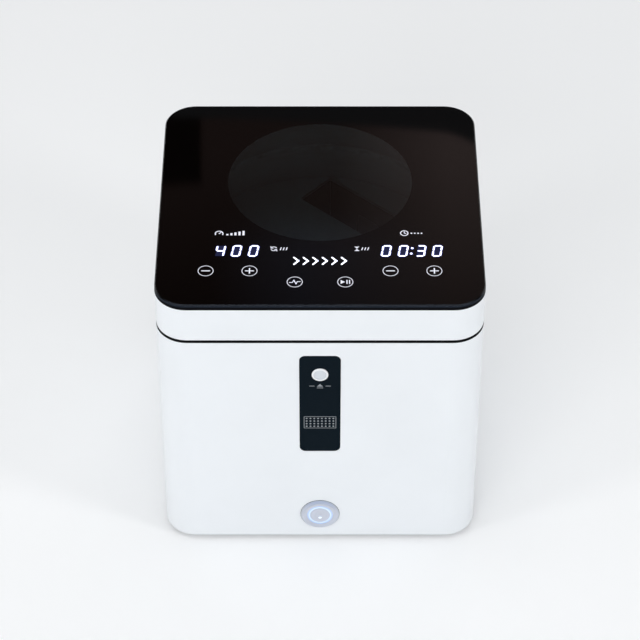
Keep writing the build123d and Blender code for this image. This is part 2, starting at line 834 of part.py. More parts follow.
cradle_middle = (slot_inner + slot_outer) / 2
cradle_depth = drum_underside - cradle_bottom
wall_shift = (slot_width + cradle_wall) / 2
end_shift = (slot_length + cradle_wall) / 2
panel_width = slot_width - 2 * weld_gap
cradle_panels = (
    ((0, 0), (panel_width, slot_length - 2 * weld_gap), cradle_floor),
    ((0, end_shift), (panel_width, cradle_wall), cradle_depth),
    ((0, -end_shift), (panel_width, cradle_wall), cradle_depth),
    ((wall_shift, 0), (cradle_wall, slot_length + 2 * cradle_wall), cradle_depth),
    ((-wall_shift, 0), (cradle_wall, slot_length + 2 * cradle_wall), cradle_depth),
)
with BuildPart() as plate_cradles:
    # Each cradle is five flat panels welded at their edges, trimmed at the drum's bore
    for middle in (cradle_middle, -cradle_middle):
        for (across, along), panel, height in cradle_panels:
            with BuildSketch(rotor_plane(cradle_bottom)) as outline:
                with Locations((middle + across, along)):
                    Rectangle(*panel)
                Circle(drum_inner - bore_gap, mode=Mode.INTERSECT)
            extrude(outline.sketch, amount=height)
    # Windows through the long walls
    middle_z = cradle_bottom + cradle_depth / 2
    upright = rotor_plane(middle_z)
    with BuildSketch(Plane(origin=upright.origin, x_dir=upright.y_dir, z_dir=upright.x_dir)) as holes:
        with GridLocations(cradle_window_pitch, 0, 2, 1):
            RectangleRounded(*cradle_window, cradle_window_corner)
    extrude(holes.sketch, amount=drum_radius, both=True, mode=Mode.SUBTRACT)
plate_cradles.part.label = "plate_cradles"

with BuildPart() as rotor_nut:
    disc(washer_radius, rotor_top, rotor_top + washer_thickness, at_rotor)
    with BuildSketch(Plane.XY.offset(rotor_top)) as hexagon:
        with Locations((0, rotor_y)):
            RegularPolygon(nut_flats / 2, 6, major_radius=False)
    extrude(hexagon.sketch, amount=nut_height)
    bore(spindle_radius + thread_gap, rotor_top, rotor_top + nut_height, at_rotor)
rotor_nut.part.label = "rotor_nut"

# ======================================================================= lid
with BuildPart() as lid_frame:
    slab(body_width, body_depth, corner_radius, lid_bottom, print_bottom)
    fillet(lid_frame.faces().sort_by(Axis.Z)[0].edges(), edge_round)
    slab(inner_width, inner_depth, inner_corner, lid_bottom, ledge_bottom, mode=Mode.SUBTRACT)
    slab(
        inner_width - 2 * ledge_width,
        inner_depth - 2 * ledge_width,
        inner_corner - ledge_width,
        ledge_bottom,
        print_bottom,
        mode=Mode.SUBTRACT,
    )
    disc(boss_radius, flange_top, ledge_bottom + overlap, corner_places)
    bore(fine_screw + thread_gap, flange_top, lid_bottom + fine_screw_length + tip_room, corner_places)
    # Two cheeks for each hinge pin
    for side in (-1, 1):
        for cheek in (-1, 1):
            inner_x = side * hinge_x + cheek * (ear_width / 2 + cheek_gap)
            with BuildSketch(Plane.YZ.offset(inner_x)) as cheek_outline:
                with Locations((hinge_y, hinge_z)):
                    Circle(cheek_radius)
                with Locations((hinge_y - cheek_radius, hinge_z)):
                    Rectangle(
                        cheek_radius + hinge_radius - wall + overlap,
                        ledge_bottom - hinge_z + overlap,
                        align=(Align.MIN, Align.MIN),
                    )
                with Locations((hinge_y, hinge_z)):
                    Circle(hinge_pin_radius + thread_gap, mode=Mode.SUBTRACT)
            extrude(cheek_outline.sketch, amount=cheek * cheek_thickness)
    cut_rear_round(hinge_radius)
    cut_hinge_notches(ear_width / 2 + cheek_gap, hinge_z + cheek_radius)
lid_frame.part.label = "lid_frame"

with BuildPart() as lid_glass:
    slab(body_width, body_depth, corner_radius, glass_bottom, glass_top)
    chamfer(lid_glass.faces().sort_by(Axis.Z)[-1].edges(), glass_bevel)
lid_glass.part.label = "lid_glass"

with BuildPart() as glass_print:
    slab(
        body_width - 2 * print_inset,
        body_depth - 2 * print_inset,
        corner_radius - print_inset,
        print_bottom,
        glass_bottom,
    )
    bore(window_radius, print_bottom, glass_bottom, [(0, window_y)])
glass_print.part.label = "glass_print"

# The funnel is a circle at the chamber's mouth, one at the neck and one at the glass.
# The neck's front stands upright and its rear leans back towards the mouth's rear.
neck_z = print_bottom - funnel_neck
top_radius = window_radius + funnel_margin
neck_radius = top_radius + funnel_lean / 2
neck_y = window_y + funnel_lean / 2
mouth_radius = bowl_radius - seal_lip
funnel_stations = (
    (lid_bottom, rotor_y, mouth_radius),
    (neck_z, neck_y, neck_radius),
    (print_bottom, window_y, top_radius),
)

with BuildPart() as lid_liner:
    slab(
        inner_width - 2 * seat_gap,
        inner_depth - 2 * seat_gap,
        inner_corner - seat_gap,
        lid_bottom,
        flange_top,
    )
    disc(board_post_radius, flange_top, board_bottom, board_post_places)
    for skin, mode in ((liner_wall, Mode.ADD), (0.0, Mode.SUBTRACT)):
        for lower, upper in zip(funnel_stations, funnel_stations[1:]):
            rings = []
            for level, centre_y, radius in (lower, upper):
                lift = 0.0 if level == print_bottom else skin
                with BuildSketch(Plane.XY.offset(level + lift)) as ring:
                    with Locations((0, centre_y)):
                        Circle(radius + skin)
                rings.append(ring.sketch)
            loft(rings, ruled=True, mode=mode)
    bore(fine_screw + thread_gap, board_top - board_screw_length - tip_room, board_bottom, board_post_places)
    flat_holes(facing(corner_places, lid_bottom, False), fine_screw, liner_flange)
    block(
        (-striker_half_width - seat_gap, striker_half_width + seat_gap),
        (striker_front - striker_hook - seat_gap, striker_rear + seat_gap),
        (lid_bottom, flange_top),
        mode=Mode.SUBTRACT,
    )
    striker_screw_y = (striker_front + front_inside + striker_foot_gap) / 2
    striker_screw_places = [(-striker_screw_x, striker_screw_y), (striker_screw_x, striker_screw_y)]
    bore(fine_screw + thread_gap, lid_bottom, flange_top, striker_screw_places)
    cut_hinge_notches(ear_width / 2 + cheek_gap + cheek_thickness + seat_gap, flange_top + 1)
    cut_rear_round(hinge_radius - seat_gap)
lid_liner.part.label = "lid_liner"

with BuildPart() as liner_screws:
    with Locations(*facing(corner_places, lid_bottom, False)):
        add(small_screw)
liner_screws.part.label = "liner_screws"

with BuildPart() as touch_board:
    with BuildSketch(Plane.XY.offset(board_bottom)) as board_outline:
        with Locations((0, board_front_y + board_depth / 2)):
            RectangleRounded(2 * board_half_width, board_depth, board_corner)
        with Locations((0, neck_y)):
            Circle(neck_radius + liner_wall + funnel_clearance, mode=Mode.SUBTRACT)
        with Locations(*board_post_places):
            Circle(fine_screw + screw_play, mode=Mode.SUBTRACT)
    extrude(amount=board_thickness)
touch_board.part.label = "touch_board"

with BuildPart() as board_screws:
    with Locations(*facing(board_post_places, board_top, True)):
        add(board_screw)
board_screws.part.label = "board_screws"

display_top = board_top + display_height
speed_place = (speed_x, display_y)
time_place = (time_x, display_y)
with BuildPart() as speed_display:
    slab(speed_display_width, display_depth, display_corner, board_top, display_top, speed_place)
speed_display.part.label = "speed_display"

with BuildPart() as time_display:
    slab(time_display_width, display_depth, display_corner, board_top, display_top, time_place)
time_display.part.label = "time_display"

with BuildPart() as touch_pads:
    key_places = [(side * x, outer_key_y) for side in (-1, 1) for x in outer_key_x]
    key_places += [(-inner_key_x, inner_key_y), (inner_key_x, inner_key_y)]
    disc(key_pad_radius, board_top, print_bottom, key_places)
touch_pads.part.label = "touch_pads"

with BuildPart() as lid_striker:
    # Upright with a forward hook, hanging from a foot that lies on the liner
    hook_top = nose_bottom - seat_gap
    hook_bottom = hook_top - striker_hook_height
    with BuildSketch(Plane.YZ.offset(-striker_half_width)) as striker_outline:
        with BuildLine():
            Polyline(
                (striker_rear, flange_top),
                (striker_rear, hook_bottom),
                (striker_front, hook_bottom),
                (striker_front - striker_hook, hook_bottom + 0.6 * striker_hook_height),
                (striker_front - striker_hook, hook_top),
                (striker_front, hook_top),
                (striker_front, flange_top),
                close=True,
            )
        make_face()
    extrude(striker_outline.sketch, amount=2 * striker_half_width)
    block(
        (-striker_foot_half, striker_foot_half),
        (front_inside + striker_foot_gap, striker_rear),
        (flange_top, flange_top + striker_thickness),
    )
    bore(fine_screw + screw_play, flange_top, flange_top + striker_thickness, striker_screw_places)
lid_striker.part.label = "lid_striker"

with BuildPart() as striker_screws:
    with Locations(*facing(striker_screw_places, flange_top + striker_thickness, True)):
        add(cap_screw(fine_screw, striker_thickness + liner_flange - screw_play))
striker_screws.part.label = "striker_screws"

# ===================================================================== hinge
with BuildPart() as hinge_ears:
    for side in (-1, 1):
        block(
            (side * hinge_x - ear_foot_width / 2, side * hinge_x + ear_foot_width / 2),
            (hinge_y - ear_depth / 2 - 1.0, rear_inside - seat_gap),
            (deck_bottom - ear_foot_thickness, deck_bottom),
        )
        with BuildSketch(Plane.YZ.offset(side * hinge_x - ear_width / 2)) as ear:
            with Locations((hinge_y, hinge_z)):
                Circle(ear_depth / 2)
            with Locations((hinge_y, deck_bottom)):
                Rectangle(ear_depth, hinge_z - deck_bottom, align=(Align.CENTER, Align.MIN))
            with Locations((hinge_y, hinge_z)):
                Circle(hinge_pin_radius + running_gap, mode=Mode.SUBTRACT)
        extrude(ear.sketch, amount=ear_width)
    bore(fine_screw + thread_gap, deck_bottom - ear_foot_thickness, deck_bottom, hinge_screw_places)
hinge_ears.part.label = "hinge_ears"

with BuildPart() as hinge_pins:
    pin_half = ear_width / 2 + cheek_gap + cheek_thickness
    for side in (-1, 1):
        with BuildSketch(Plane.YZ.offset(side * hinge_x - pin_half)) as pin_section:
            with Locations((hinge_y, hinge_z)):
                Circle(hinge_pin_radius)
        extrude(pin_section.sketch, amount=2 * pin_half)
hinge_pins.part.label = "hinge_pins"

with BuildPart() as hinge_screws:
    with Locations(*facing(hinge_screw_places, body_top, True)):
        add(small_screw)
hinge_screws.part.label = "hinge_screws"

# ============================================================== front pieces
with BuildPart() as front_label:
    with BuildSketch(front_plane) as label_outline:
        with Locations((0, button_z + label_above_button - label_height / 2)):
            RectangleRounded(label_width, label_height, label_corner)
        with Locations((0, button_z)):
            Circle(sleeve_radius + thread_gap, mode=Mode.SUBTRACT)
    extrude(amount=-label_thickness)
front_label.part.label = "front_label"

sleeve_front = front_face - sleeve_proud
sleeve_end = sleeve_front + sleeve_length
with BuildPart() as open_button_sleeve:
    turned(
        front_spin(button_z),
        [
            (button_radius + running_gap, sleeve_front),
            (sleeve_flange - sleeve_edge, sleeve_front),
            (sleeve_flange, sleeve_front + sleeve_edge),
            (sleeve_flange, front_face),
            (sleeve_radius, front_face),
            (sleeve_radius, sleeve_end),
            (stem_radius + running_gap, sleeve_end),
            (stem_radius + running_gap, sleeve_end - sleeve_floor),
            (button_radius + running_gap, sleeve_end - sleeve_floor),
        ],
    )
open_button_sleeve.part.label = "open_button_sleeve"

with BuildPart() as open_button:
    stem_end = lever_front - seat_gap
    turned(
        front_spin(button_z),
        [
            (0, sleeve_front - 0.6),
            (0.5 * button_radius, sleeve_front - 0.5),
            (button_radius - 0.5, sleeve_front - 0.1),
            (button_radius, sleeve_front + 0.3),
            (button_radius, sleeve_front + button_thickness),
            (stem_radius, sleeve_front + button_thickness),
            (stem_radius, stem_end),
            (0, stem_end),
        ],
    )
open_button.part.label = "open_button"

with BuildPart() as open_button_nut:
    nut_front = front_inside + latch_plate
    with BuildSketch(Plane.XZ.offset(-nut_front)) as nut_outline:
        with Locations((0, button_z)):
            RegularPolygon(sleeve_radius + sleeve_nut_wall, 6, major_radius=False)
            Circle(sleeve_radius + thread_gap, mode=Mode.SUBTRACT)
    extrude(nut_outline.sketch, amount=-sleeve_nut_thickness)
open_button_nut.part.label = "open_button_nut"

with BuildPart() as latch_bracket:
    with BuildSketch(Plane.XZ.offset(-front_inside)) as bracket_face:
        with Locations((0, button_z + (latch_plate_above - latch_plate_below) / 2)):
            RectangleRounded(latch_plate_width, latch_plate_above + latch_plate_below, 2.0)
        with Locations((0, button_z)):
            Circle(sleeve_radius + thread_gap, mode=Mode.SUBTRACT)
    extrude(bracket_face.sketch, amount=-latch_plate)
    cheek_front = front_inside + overlap
    cheek_rear = pivot_y + latch_cheek_behind
    cheek_top = button_z + latch_plate_above - overlap
    cheek_bottom = pivot_z - latch_cheek_below
    for side in (-1, 1):
        with BuildSketch(Plane.YZ.offset(side * latch_cheek_inside)) as latch_cheek:
            with BuildLine():
                Polyline(
                    (cheek_front, cheek_bottom),
                    (cheek_front, cheek_top),
                    (cheek_rear, cheek_top),
                    (cheek_rear, cheek_bottom + latch_cheek_behind),
                    (pivot_y, cheek_bottom),
                    close=True,
                )
            make_face()
            with Locations((pivot_y, pivot_z)):
                Circle(latch_pin_radius + thread_gap, mode=Mode.SUBTRACT)
        extrude(latch_cheek.sketch, amount=side * latch_plate)
latch_bracket.part.label = "latch_bracket"

with BuildPart() as latch_pin:
    latch_pin_half = latch_cheek_inside + latch_plate + latch_pin_end
    with BuildSketch(Plane.YZ.offset(-latch_pin_half)) as pivot_section:
        with Locations((pivot_y, pivot_z)):
            Circle(latch_pin_radius)
    extrude(pivot_section.sketch, amount=2 * latch_pin_half)
latch_pin.part.label = "latch_pin"

with BuildPart() as latch_lever:
    nose_top = nose_bottom + latch_nose_height
    arm_front = nose_tip - latch_stem_reach
    arm_rear = arm_front + latch_stem
    with BuildSketch(Plane.YZ.offset(-latch_half_width)) as lever_outline:
        with BuildLine():
            Polyline(
                (arm_front, pivot_z),
                (arm_front, nose_top),
                (arm_rear, nose_top),
                (nose_tip, nose_bottom + latch_nose_edge),
                (nose_tip, nose_bottom),
                (arm_rear, nose_bottom),
                (arm_rear, pivot_z),
                close=True,
            )
        make_face()
        with Locations((lever_front, button_z - stem_radius)):
            Rectangle(latch_arm, latch_pivot_height + stem_radius, align=(Align.MIN, Align.MIN))
        with Locations((pivot_y, pivot_z)):
            Circle(latch_boss_radius)
            Circle(latch_pin_radius + running_gap, mode=Mode.SUBTRACT)
    extrude(lever_outline.sketch, amount=2 * latch_half_width)
latch_lever.part.label = "latch_lever"

with BuildPart() as latch_spring:
    # Torsion spring on the pin beside the lever: one leg down the lever's arm, one to the front
    coil_pitch = 2 * spring_wire + 0.12
    pin_line = Axis((0, pivot_y, pivot_z), (1, 0, 0))
    coil = Helix(
        coil_pitch,
        coil_pitch * (spring_turns - 0.75),
        spring_radius,
        center=(latch_half_width + spring_wire + 0.1, pivot_y, pivot_z),
        direction=(1, 0, 0),
        mode=Mode.PRIVATE,
    ).rotate(pin_line, -90)
    with BuildLine():
        add(coil)
    with BuildSketch(Plane(origin=coil @ 0, z_dir=coil % 0)):
        Circle(spring_wire)
    sweep()
    legs = ((coil @ 0, (0, 0, -1), spring_leg), (coil @ 1, (0, -1, 0), spring_front_leg))
    for end, direction, length in legs:
        with BuildSketch(Plane(origin=end, z_dir=direction)) as leg_section:
            Circle(spring_wire)
        extrude(leg_section.sketch, amount=length)
    # A bend joins each leg to the coil
    with Locations(coil @ 0, coil @ 1):
        Sphere(spring_wire)
latch_spring.part.label = "latch_spring"

# ============================================================== power switch
switch_front = front_face - switch_proud
switch_rear = front_face + switch_body_length
switch_well = switch_rear - switch_floor
lens_rear = switch_front + switch_socket
with BuildPart() as power_switch_body:
    turned(
        front_spin(switch_z),
        [
            (switch_lens_outer + thread_gap, switch_front + 0.6),
            (switch_step, switch_front),
            (switch_step + 0.5, switch_front),
            (switch_radius, front_face - 0.6),
            (switch_radius, front_face),
            (switch_body_radius, front_face),
            (switch_body_radius, switch_rear),
            (0, switch_rear),
            (0, switch_well),
            (switch_lens_outer - 2.0, switch_well),
            (switch_lens_outer - 2.0, lens_rear),
            (switch_lens_outer + thread_gap, lens_rear),
        ],
    )
    with BuildSketch(Plane.XZ.offset(-switch_rear)) as terminals:
        with Locations((0, switch_z)):
            with PolarLocations(terminal_circle, 4):
                Rectangle(*terminal_blade[:2])
    extrude(terminals.sketch, amount=-terminal_blade[2])
power_switch_body.part.label = "power_switch_body"

with BuildPart() as power_switch_lens:
    turned(
        front_spin(switch_z),
        [
            (switch_lens_inner, switch_front + 0.5),
            (switch_lens_outer, switch_front + 0.8),
            (switch_lens_outer, lens_rear),
            (switch_lens_inner, lens_rear),
        ],
    )
power_switch_lens.part.label = "power_switch_lens"

with BuildPart() as power_button:
    cap_radius = switch_lens_inner - running_gap
    turned(
        front_spin(switch_z),
        [
            (0, switch_front + 0.9),
            (0.6 * cap_radius, switch_front + 0.65),
            (cap_radius - 0.5, switch_front + 0.3),
            (cap_radius, switch_front + 0.7),
            (cap_radius, switch_front + switch_cap_thickness),
            (switch_stem_radius, switch_front + switch_cap_thickness),
            (switch_stem_radius, switch_well - switch_travel - seat_gap),
            (0, switch_well - switch_travel - seat_gap),
        ],
    )
power_button.part.label = "power_button"

with BuildPart() as power_switch_nut:
    with BuildSketch(Plane.XZ.offset(-front_inside)) as switch_nut_outline:
        with Locations((0, switch_z)):
            RegularPolygon(switch_nut_flats / 2, 6, major_radius=False)
            Circle(switch_body_radius + thread_gap, mode=Mode.SUBTRACT)
    extrude(switch_nut_outline.sketch, amount=-switch_nut_thickness)
power_switch_nut.part.label = "power_switch_nut"

# =============================================================== mains inlet
blade_pitch = 7.0
inlet_blades = ((-blade_pitch, -2.0), (0.0, 2.0), (blade_pitch, -2.0))
blade_x, blade_z = inlet_blade[0] / 2, inlet_blade[1] / 2
inlet_front = rear_face + inlet_flange_thickness
inlet_screw_planes = [
    Plane(origin=(inlet_x + x, inlet_front, inlet_z), z_dir=(0, 1, 0))
    for x in (-inlet_screw_pitch / 2, inlet_screw_pitch / 2)
]
with BuildPart() as power_inlet:
    with BuildSketch(rear_plane) as inlet_face:
        with Locations((-inlet_x, inlet_z)):
            RectangleRounded(inlet_flange_width, inlet_flange_height, inlet_flange_corner)
            with GridLocations(inlet_screw_pitch, 0, 2, 1):
                Circle(fine_screw + thread_gap, mode=Mode.SUBTRACT)
    extrude(inlet_face.sketch, amount=inlet_flange_thickness)
    with BuildSketch(rear_plane) as inlet_body:
        with Locations((-inlet_x, inlet_z)):
            Rectangle(inlet_body_width, inlet_body_height)
    extrude(inlet_body.sketch, amount=-inlet_body_depth)
    with BuildSketch(rear_plane.offset(inlet_flange_thickness)) as socket:
        with Locations((-inlet_x, inlet_z)):
            Rectangle(inlet_socket_width, inlet_socket_height)
        chamfer(socket.vertices().group_by(Axis.Z)[-1], inlet_socket_chamfer)
    extrude(socket.sketch, amount=-inlet_socket_depth, mode=Mode.SUBTRACT)
    flat_holes(inlet_screw_planes, fine_screw, inlet_flange_thickness)
    for x, z in inlet_blades:
        block(
            (inlet_x + x - blade_x - thread_gap, inlet_x + x + blade_x + thread_gap),
            (rear_face - inlet_body_depth, inlet_front - inlet_socket_depth),
            (inlet_z + z - blade_z - thread_gap, inlet_z + z + blade_z + thread_gap),
            mode=Mode.SUBTRACT,
        )
power_inlet.part.label = "power_inlet"

with BuildPart() as inlet_pins:
    for x, z in inlet_blades:
        block(
            (inlet_x + x - blade_x, inlet_x + x + blade_x),
            (rear_face - inlet_body_depth - inlet_blade_tail, inlet_front - inlet_blade_recess),
            (inlet_z + z - blade_z, inlet_z + z + blade_z),
        )
inlet_pins.part.label = "inlet_pins"

with BuildPart() as inlet_screws:
    with Locations(*inlet_screw_planes):
        add(small_screw)
inlet_screws.part.label = "inlet_screws"

# =============================================================== electronics
with BuildPart() as power_supply:
    supply_top = base_top + supply_size[2]
    slab(supply_size[0], supply_size[1], supply_corner, base_top, supply_top, (supply_x, 0))
    with BuildSketch(Plane.XY.offset(supply_top)) as supply_vents:
        with Locations((supply_x, 0)):
            with GridLocations(0, supply_slot_pitch, 1, supply_slots):
                SlotOverall(0.7 * supply_size[0], supply_slot_width)
    extrude(supply_vents.sketch, amount=-supply_slot_depth, mode=Mode.SUBTRACT)
power_supply.part.label = "power_supply"

board_level = base_top + board_spacer_height
board_face = board_level + board_size[2]
with BuildPart() as control_board:
    slab(board_size[0], board_size[1], board_corner, board_level, board_face, (board_x, 0))
    bore(spacer_stem_radius + thread_gap, board_level, board_face, spacer_places)
    sink_x = board_x - board_size[0] / 2 + board_margin
    block(
        (sink_x, sink_x + heat_sink_size[0]),
        (-heat_sink_size[1] / 2, heat_sink_size[1] / 2),
        (board_face, board_face + heat_sink_size[2]),
    )
    with BuildSketch(Plane.XY.offset(board_face + heat_sink_size[2])) as fins:
        with Locations((sink_x + heat_sink_size[0] / 2, 0)):
            with GridLocations(0, heat_sink_size[1] / heat_sink_fins, 1, heat_sink_fins - 1):
                Rectangle(heat_sink_size[0], 0.5 * heat_sink_size[1] / heat_sink_fins)
    extrude(fins.sketch, amount=-0.8 * heat_sink_size[2], mode=Mode.SUBTRACT)
    capacitor_x = board_x + board_size[0] / 2 - board_margin - capacitor_radius
    capacitor_places = [(capacitor_x, -step * 2.5 * capacitor_radius) for step in (1, 2)]
    disc(capacitor_radius, board_face, board_face + capacitor_height, capacitor_places)
    block(
        (capacitor_x - chip_size[0] / 2, capacitor_x + chip_size[0] / 2),
        (board_margin, board_margin + chip_size[1]),
        (board_face, board_face + chip_size[2]),
    )
    block(
        (board_x - terminal_size[0] / 2, board_x + terminal_size[0] / 2),
        (board_size[1] / 2 - board_margin - terminal_size[1], board_size[1] / 2 - board_margin),
        (board_face, board_face + terminal_size[2]),
    )
control_board.part.label = "control_board"

with BuildPart() as board_spacers:
    disc(board_spacer_radius, base_top, board_level, spacer_places)
    disc(spacer_stem_radius, board_level, board_face, spacer_places)
    disc(spacer_clip_radius, board_face, board_face + spacer_clip_height, spacer_places)
board_spacers.part.label = "board_spacers"

# ==================================================================== output
pieces = [
    housing_shell, base_plate, base_screws, rubber_feet,
    chamber_bowl, bowl_screws, mouth_seal, lid_gasket, shaft_boot,
    motor_bracket, bracket_posts, rubber_dampers, bracket_screws,
    motor_front_bell, motor_can, stator_core, motor_windings, motor_bearings,
    spindle, magnet_rotor, rotor_hub, rotor_base, rotor_screws, rotor_drum, plate_cradles, rotor_nut,
    lid_frame, lid_glass, glass_print, lid_liner, liner_screws,
    touch_board, board_screws, speed_display, time_display, touch_pads, lid_striker, striker_screws,
    hinge_ears, hinge_pins, hinge_screws,
    front_label, open_button_sleeve, open_button, open_button_nut,
    latch_bracket, latch_pin, latch_lever, latch_spring,
    power_switch_body, power_switch_lens, power_button, power_switch_nut,
    power_inlet, inlet_pins, inlet_screws,
    power_supply, control_board, board_spacers,
]
os.makedirs("parts", exist_ok=True)
for piece in pieces:
    export_step(piece.part, f"parts/{piece.part.label}.step")
print(f"{len(pieces)} pieces, {body_width:.2f} x {body_depth:.2f} x {glass_top:.2f} mm")
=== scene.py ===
import json
from math import cos, pi, radians, sin

import bmesh
import bpy
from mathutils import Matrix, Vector


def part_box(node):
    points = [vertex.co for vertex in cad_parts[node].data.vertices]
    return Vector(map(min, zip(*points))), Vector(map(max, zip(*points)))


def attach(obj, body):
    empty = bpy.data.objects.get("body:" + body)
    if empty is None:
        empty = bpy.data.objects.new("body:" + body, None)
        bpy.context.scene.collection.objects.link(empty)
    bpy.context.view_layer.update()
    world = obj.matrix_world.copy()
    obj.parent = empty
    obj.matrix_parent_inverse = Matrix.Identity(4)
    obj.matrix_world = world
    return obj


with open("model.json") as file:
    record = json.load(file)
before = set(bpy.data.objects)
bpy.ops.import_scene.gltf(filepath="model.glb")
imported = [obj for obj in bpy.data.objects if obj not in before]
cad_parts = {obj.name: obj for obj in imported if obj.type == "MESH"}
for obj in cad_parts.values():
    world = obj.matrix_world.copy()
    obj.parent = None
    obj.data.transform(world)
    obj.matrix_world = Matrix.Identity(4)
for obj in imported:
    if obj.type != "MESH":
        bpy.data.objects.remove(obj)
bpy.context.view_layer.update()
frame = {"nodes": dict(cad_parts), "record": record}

MM = 0.001

# --------------------------------------------------------------- the camera
SENSOR_MM = 36.0
LENS_MM = 146.35
CAMERA_PITCH = 42.359
CAMERA_DISTANCE = 2.1592
AIM_HEIGHT = 0.13176

# ---------------------------------------------- the studio, metres and watts
# Name, place, aim, size and power of each lamp
LAMPS = (
    ("key_lamp", (-0.7, -2.5, 1.5), (0, 0, 0.12), (2.0, 1.2), 19.0),
    ("top_lamp", (-0.3, -0.2, 2.4), (0, 0, 0.1), (1.6, 1.6), 8.0),
    ("left_strip", (-1.65, -0.9, 1.0), (0, 0, 0.12), (0.35, 1.0), 6.0),
    ("right_strip", (1.65, -0.9, 1.0), (0, 0, 0.12), (0.35, 1.0), 8.0),
    ("back_lamp", (0.3, 2.5, 1.5), (0, 0, 0.12), (2.0, 1.2), 10.0),
)
FLOOR_SIZE = 12.0
FLOOR_COLOUR = (0.90, 0.905, 0.91)
FLOOR_GLOW = 0.09
ROOM_LIGHT = 0.50
ROOM_COLOUR = (0.97, 0.985, 1.0, 1.0)

# ------------------------------------------ the room that glossy surfaces mirror
# Its colours, and its bounds as the x, y or z of a direction of length 1
DIM_ROOM = (0.09, 0.06, 0.055)
WARM_WALL = (0.28, 0.21, 0.20)
COOL_WALL = (0.16, 0.155, 0.20)
DARK_BEAM = (0.07, 0.07, 0.075)
CEILING = (0.40, 0.41, 0.43)
BEHIND_CAMERA = (0.62, 0.72, 0.90)
LOW_DOWN = (0.85, 0.86, 0.88)
WALL_SPAN = (-0.07, 0.07)          # x
WARM_TO_COOL = (0.640, 0.657)      # z
FALL_SPAN = (0.625, 0.668)         # z
FALL_LIGHT = (1.25, 0.60)          # brightness at its two ends
DOORWAY_SIDE = (-0.0475, -0.0435)  # x
DOORWAY_FOOT = (0.630, 0.637)      # z
DOORWAY_LIGHT = 0.2                # brightness in the doorway
BEAM_EDGE = (0.6148, 0.6172)       # z at the middle
BEAM_SLOPE = 0.045                 # z for each x
BEAM_SAG_FROM = 0.045              # x
BEAM_SAG = 13.0                    # z for each square of x past that
LOW_SPAN = (0.15, 0.45)            # z
BEHIND_SPAN = (-0.5, 0.0)          # y
CEILING_SPAN = (0.80, 0.95)        # z

# ------------------------------------- places on the lid's glass, millimetres
PRINT_RISE = 0.04
SPEED_DIGITS = ((-77.7, "4"), (-65.1, "0"), (-51.8, "0"))
TIME_DIGITS = ((51.7, "0"), (64.9, "0"), (78.7, "3"), (91.4, "0"))
DIGIT_Y = -60.8
DIGIT_WIDTH = 7.3
DIGIT_HEIGHT = 13.3
DIGIT_SLANT = 0.15
SEGMENT_WIDTH = 1.3
SEGMENT_TRIM = 0.2
GLOW_SPREAD = 0.8                  # wider than the segment that it surrounds
GLOW_TRIM = -0.15
COLON_X = 71.5
COLON_RISE = 3.2
COLON_RADIUS = 0.975
OUTER_KEYS = (54.5, 88.4)
OUTER_KEY_Y = -84.3
INNER_KEY_X = 19.45
INNER_KEY_Y = -97.2
KEY_RADIUS = 6.1
KEY_LINE = 0.52
SIGN_LINE = 1.05
MINUS_HALF = 3.0
PLUS_RISE = (1.0, 2.8)
PULSE = ((-4.2, -0.6), (-1.8, -0.6), (-0.6, 2.2), (1.0, -2.4), (2.0, 0.4), (4.2, 0.4))
PULSE_LINE = 0.7
RUN_ARROW = ((-3.6, -2.3), (-0.2, 0.0), (-3.6, 2.3))
HALT_BARS = (1.3, 3.3)
HALT_HALF = 1.9
HALT_LINE = 0.9
LEGEND_Y = -39.4
UNIT_Y = -58.2
TICK_LINE = 0.8
CHEVRONS = 6
CHEVRON_START = -20.2
CHEVRON_PITCH = 7.4
CHEVRON_TIP = 3.4
CHEVRON_HALF = 4.0
CHEVRON_Y = -72.6
CHEVRON_LINE = 1.3
WINDOW_CENTRE = (0.0, 27.8)
WINDOW_RADIUS = 74.1
SIDE_HIGHLIGHT_SPAN = (3.6, 0.8)             # below the glass's top, over which its black side lightens to a painted bluish highlight
UNDERSIDE = 0.2                    # how far up the black print counts
LEVEL_NORMAL = 0.35                # sides have a normal with less rise than this

# --------------------------------- places on the front and the trims, millimetres
OPEN_SIGN_Z = 174.8
OPEN_SIGN_LINE = 0.6
OPEN_ARROW = ((-2.4, -0.6), (2.4, -0.6), (0.0, 2.3))
OPEN_BAR = (2.2, -2.0)             # half its length, and its height
OPEN_DASH = (4.6, 8.2)
PLATE_SIGN = (-12.6, 12.6, 128.6, 141.2)
PLATE_SIGN_LINE = 0.45
WELLS = (8, 4)
WELL_START = (2.0, 1.95)
WELL_PITCH = (3.03, 2.9)
WELL_RADIUS = 0.75
CORNER_RADIUS = 25.0
# Sections of the black strips of painted shade: out from the body's face, and up from the frame's low or
# high edge
MOUTH_SHADE_SECTION = ((0.10, -2.2), (0.10, -0.3), (-1.15, -0.3), (-1.15, -1.38), (-0.3, -1.38), (0.02, -2.2))
GLASS_EDGE_SHADE_SECTION = ((0.10, -0.8), (0.10, 0.37), (-0.55, 0.37), (-0.55, 0.03), (0.02, 0.03), (0.02, -0.8))
SWITCH_AXIS = (0.0, 29.6)
RING_RADIUS = 8.75
RING_REACH = 1.05
# A thin grey ring of painted shade round the switch: its width and rise
SHADE_RING_LINE = 0.6
SHADE_RING_RISE = 0.2
# A small glowing dot on the switch's cap is a painted highlight, not a lamp
CAP_HIGHLIGHT_HALF = 0.7
CAP_HIGHLIGHT_DROP = 2.75
CAP_HIGHLIGHT_LINE = 1.0
CAP_HIGHLIGHT_RISE = 0.5
CAP_HIGHLIGHT_SINK = 0.00025           # metres into the cap

glass_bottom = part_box("lid_glass")[0].z
glass_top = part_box("lid_glass")[1].z
label_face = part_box("front_label")[0].y
frame_low, frame_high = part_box("lid_frame")
switch_low, switch_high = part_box("power_button")
bezel_low, bezel_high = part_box("power_switch_body")


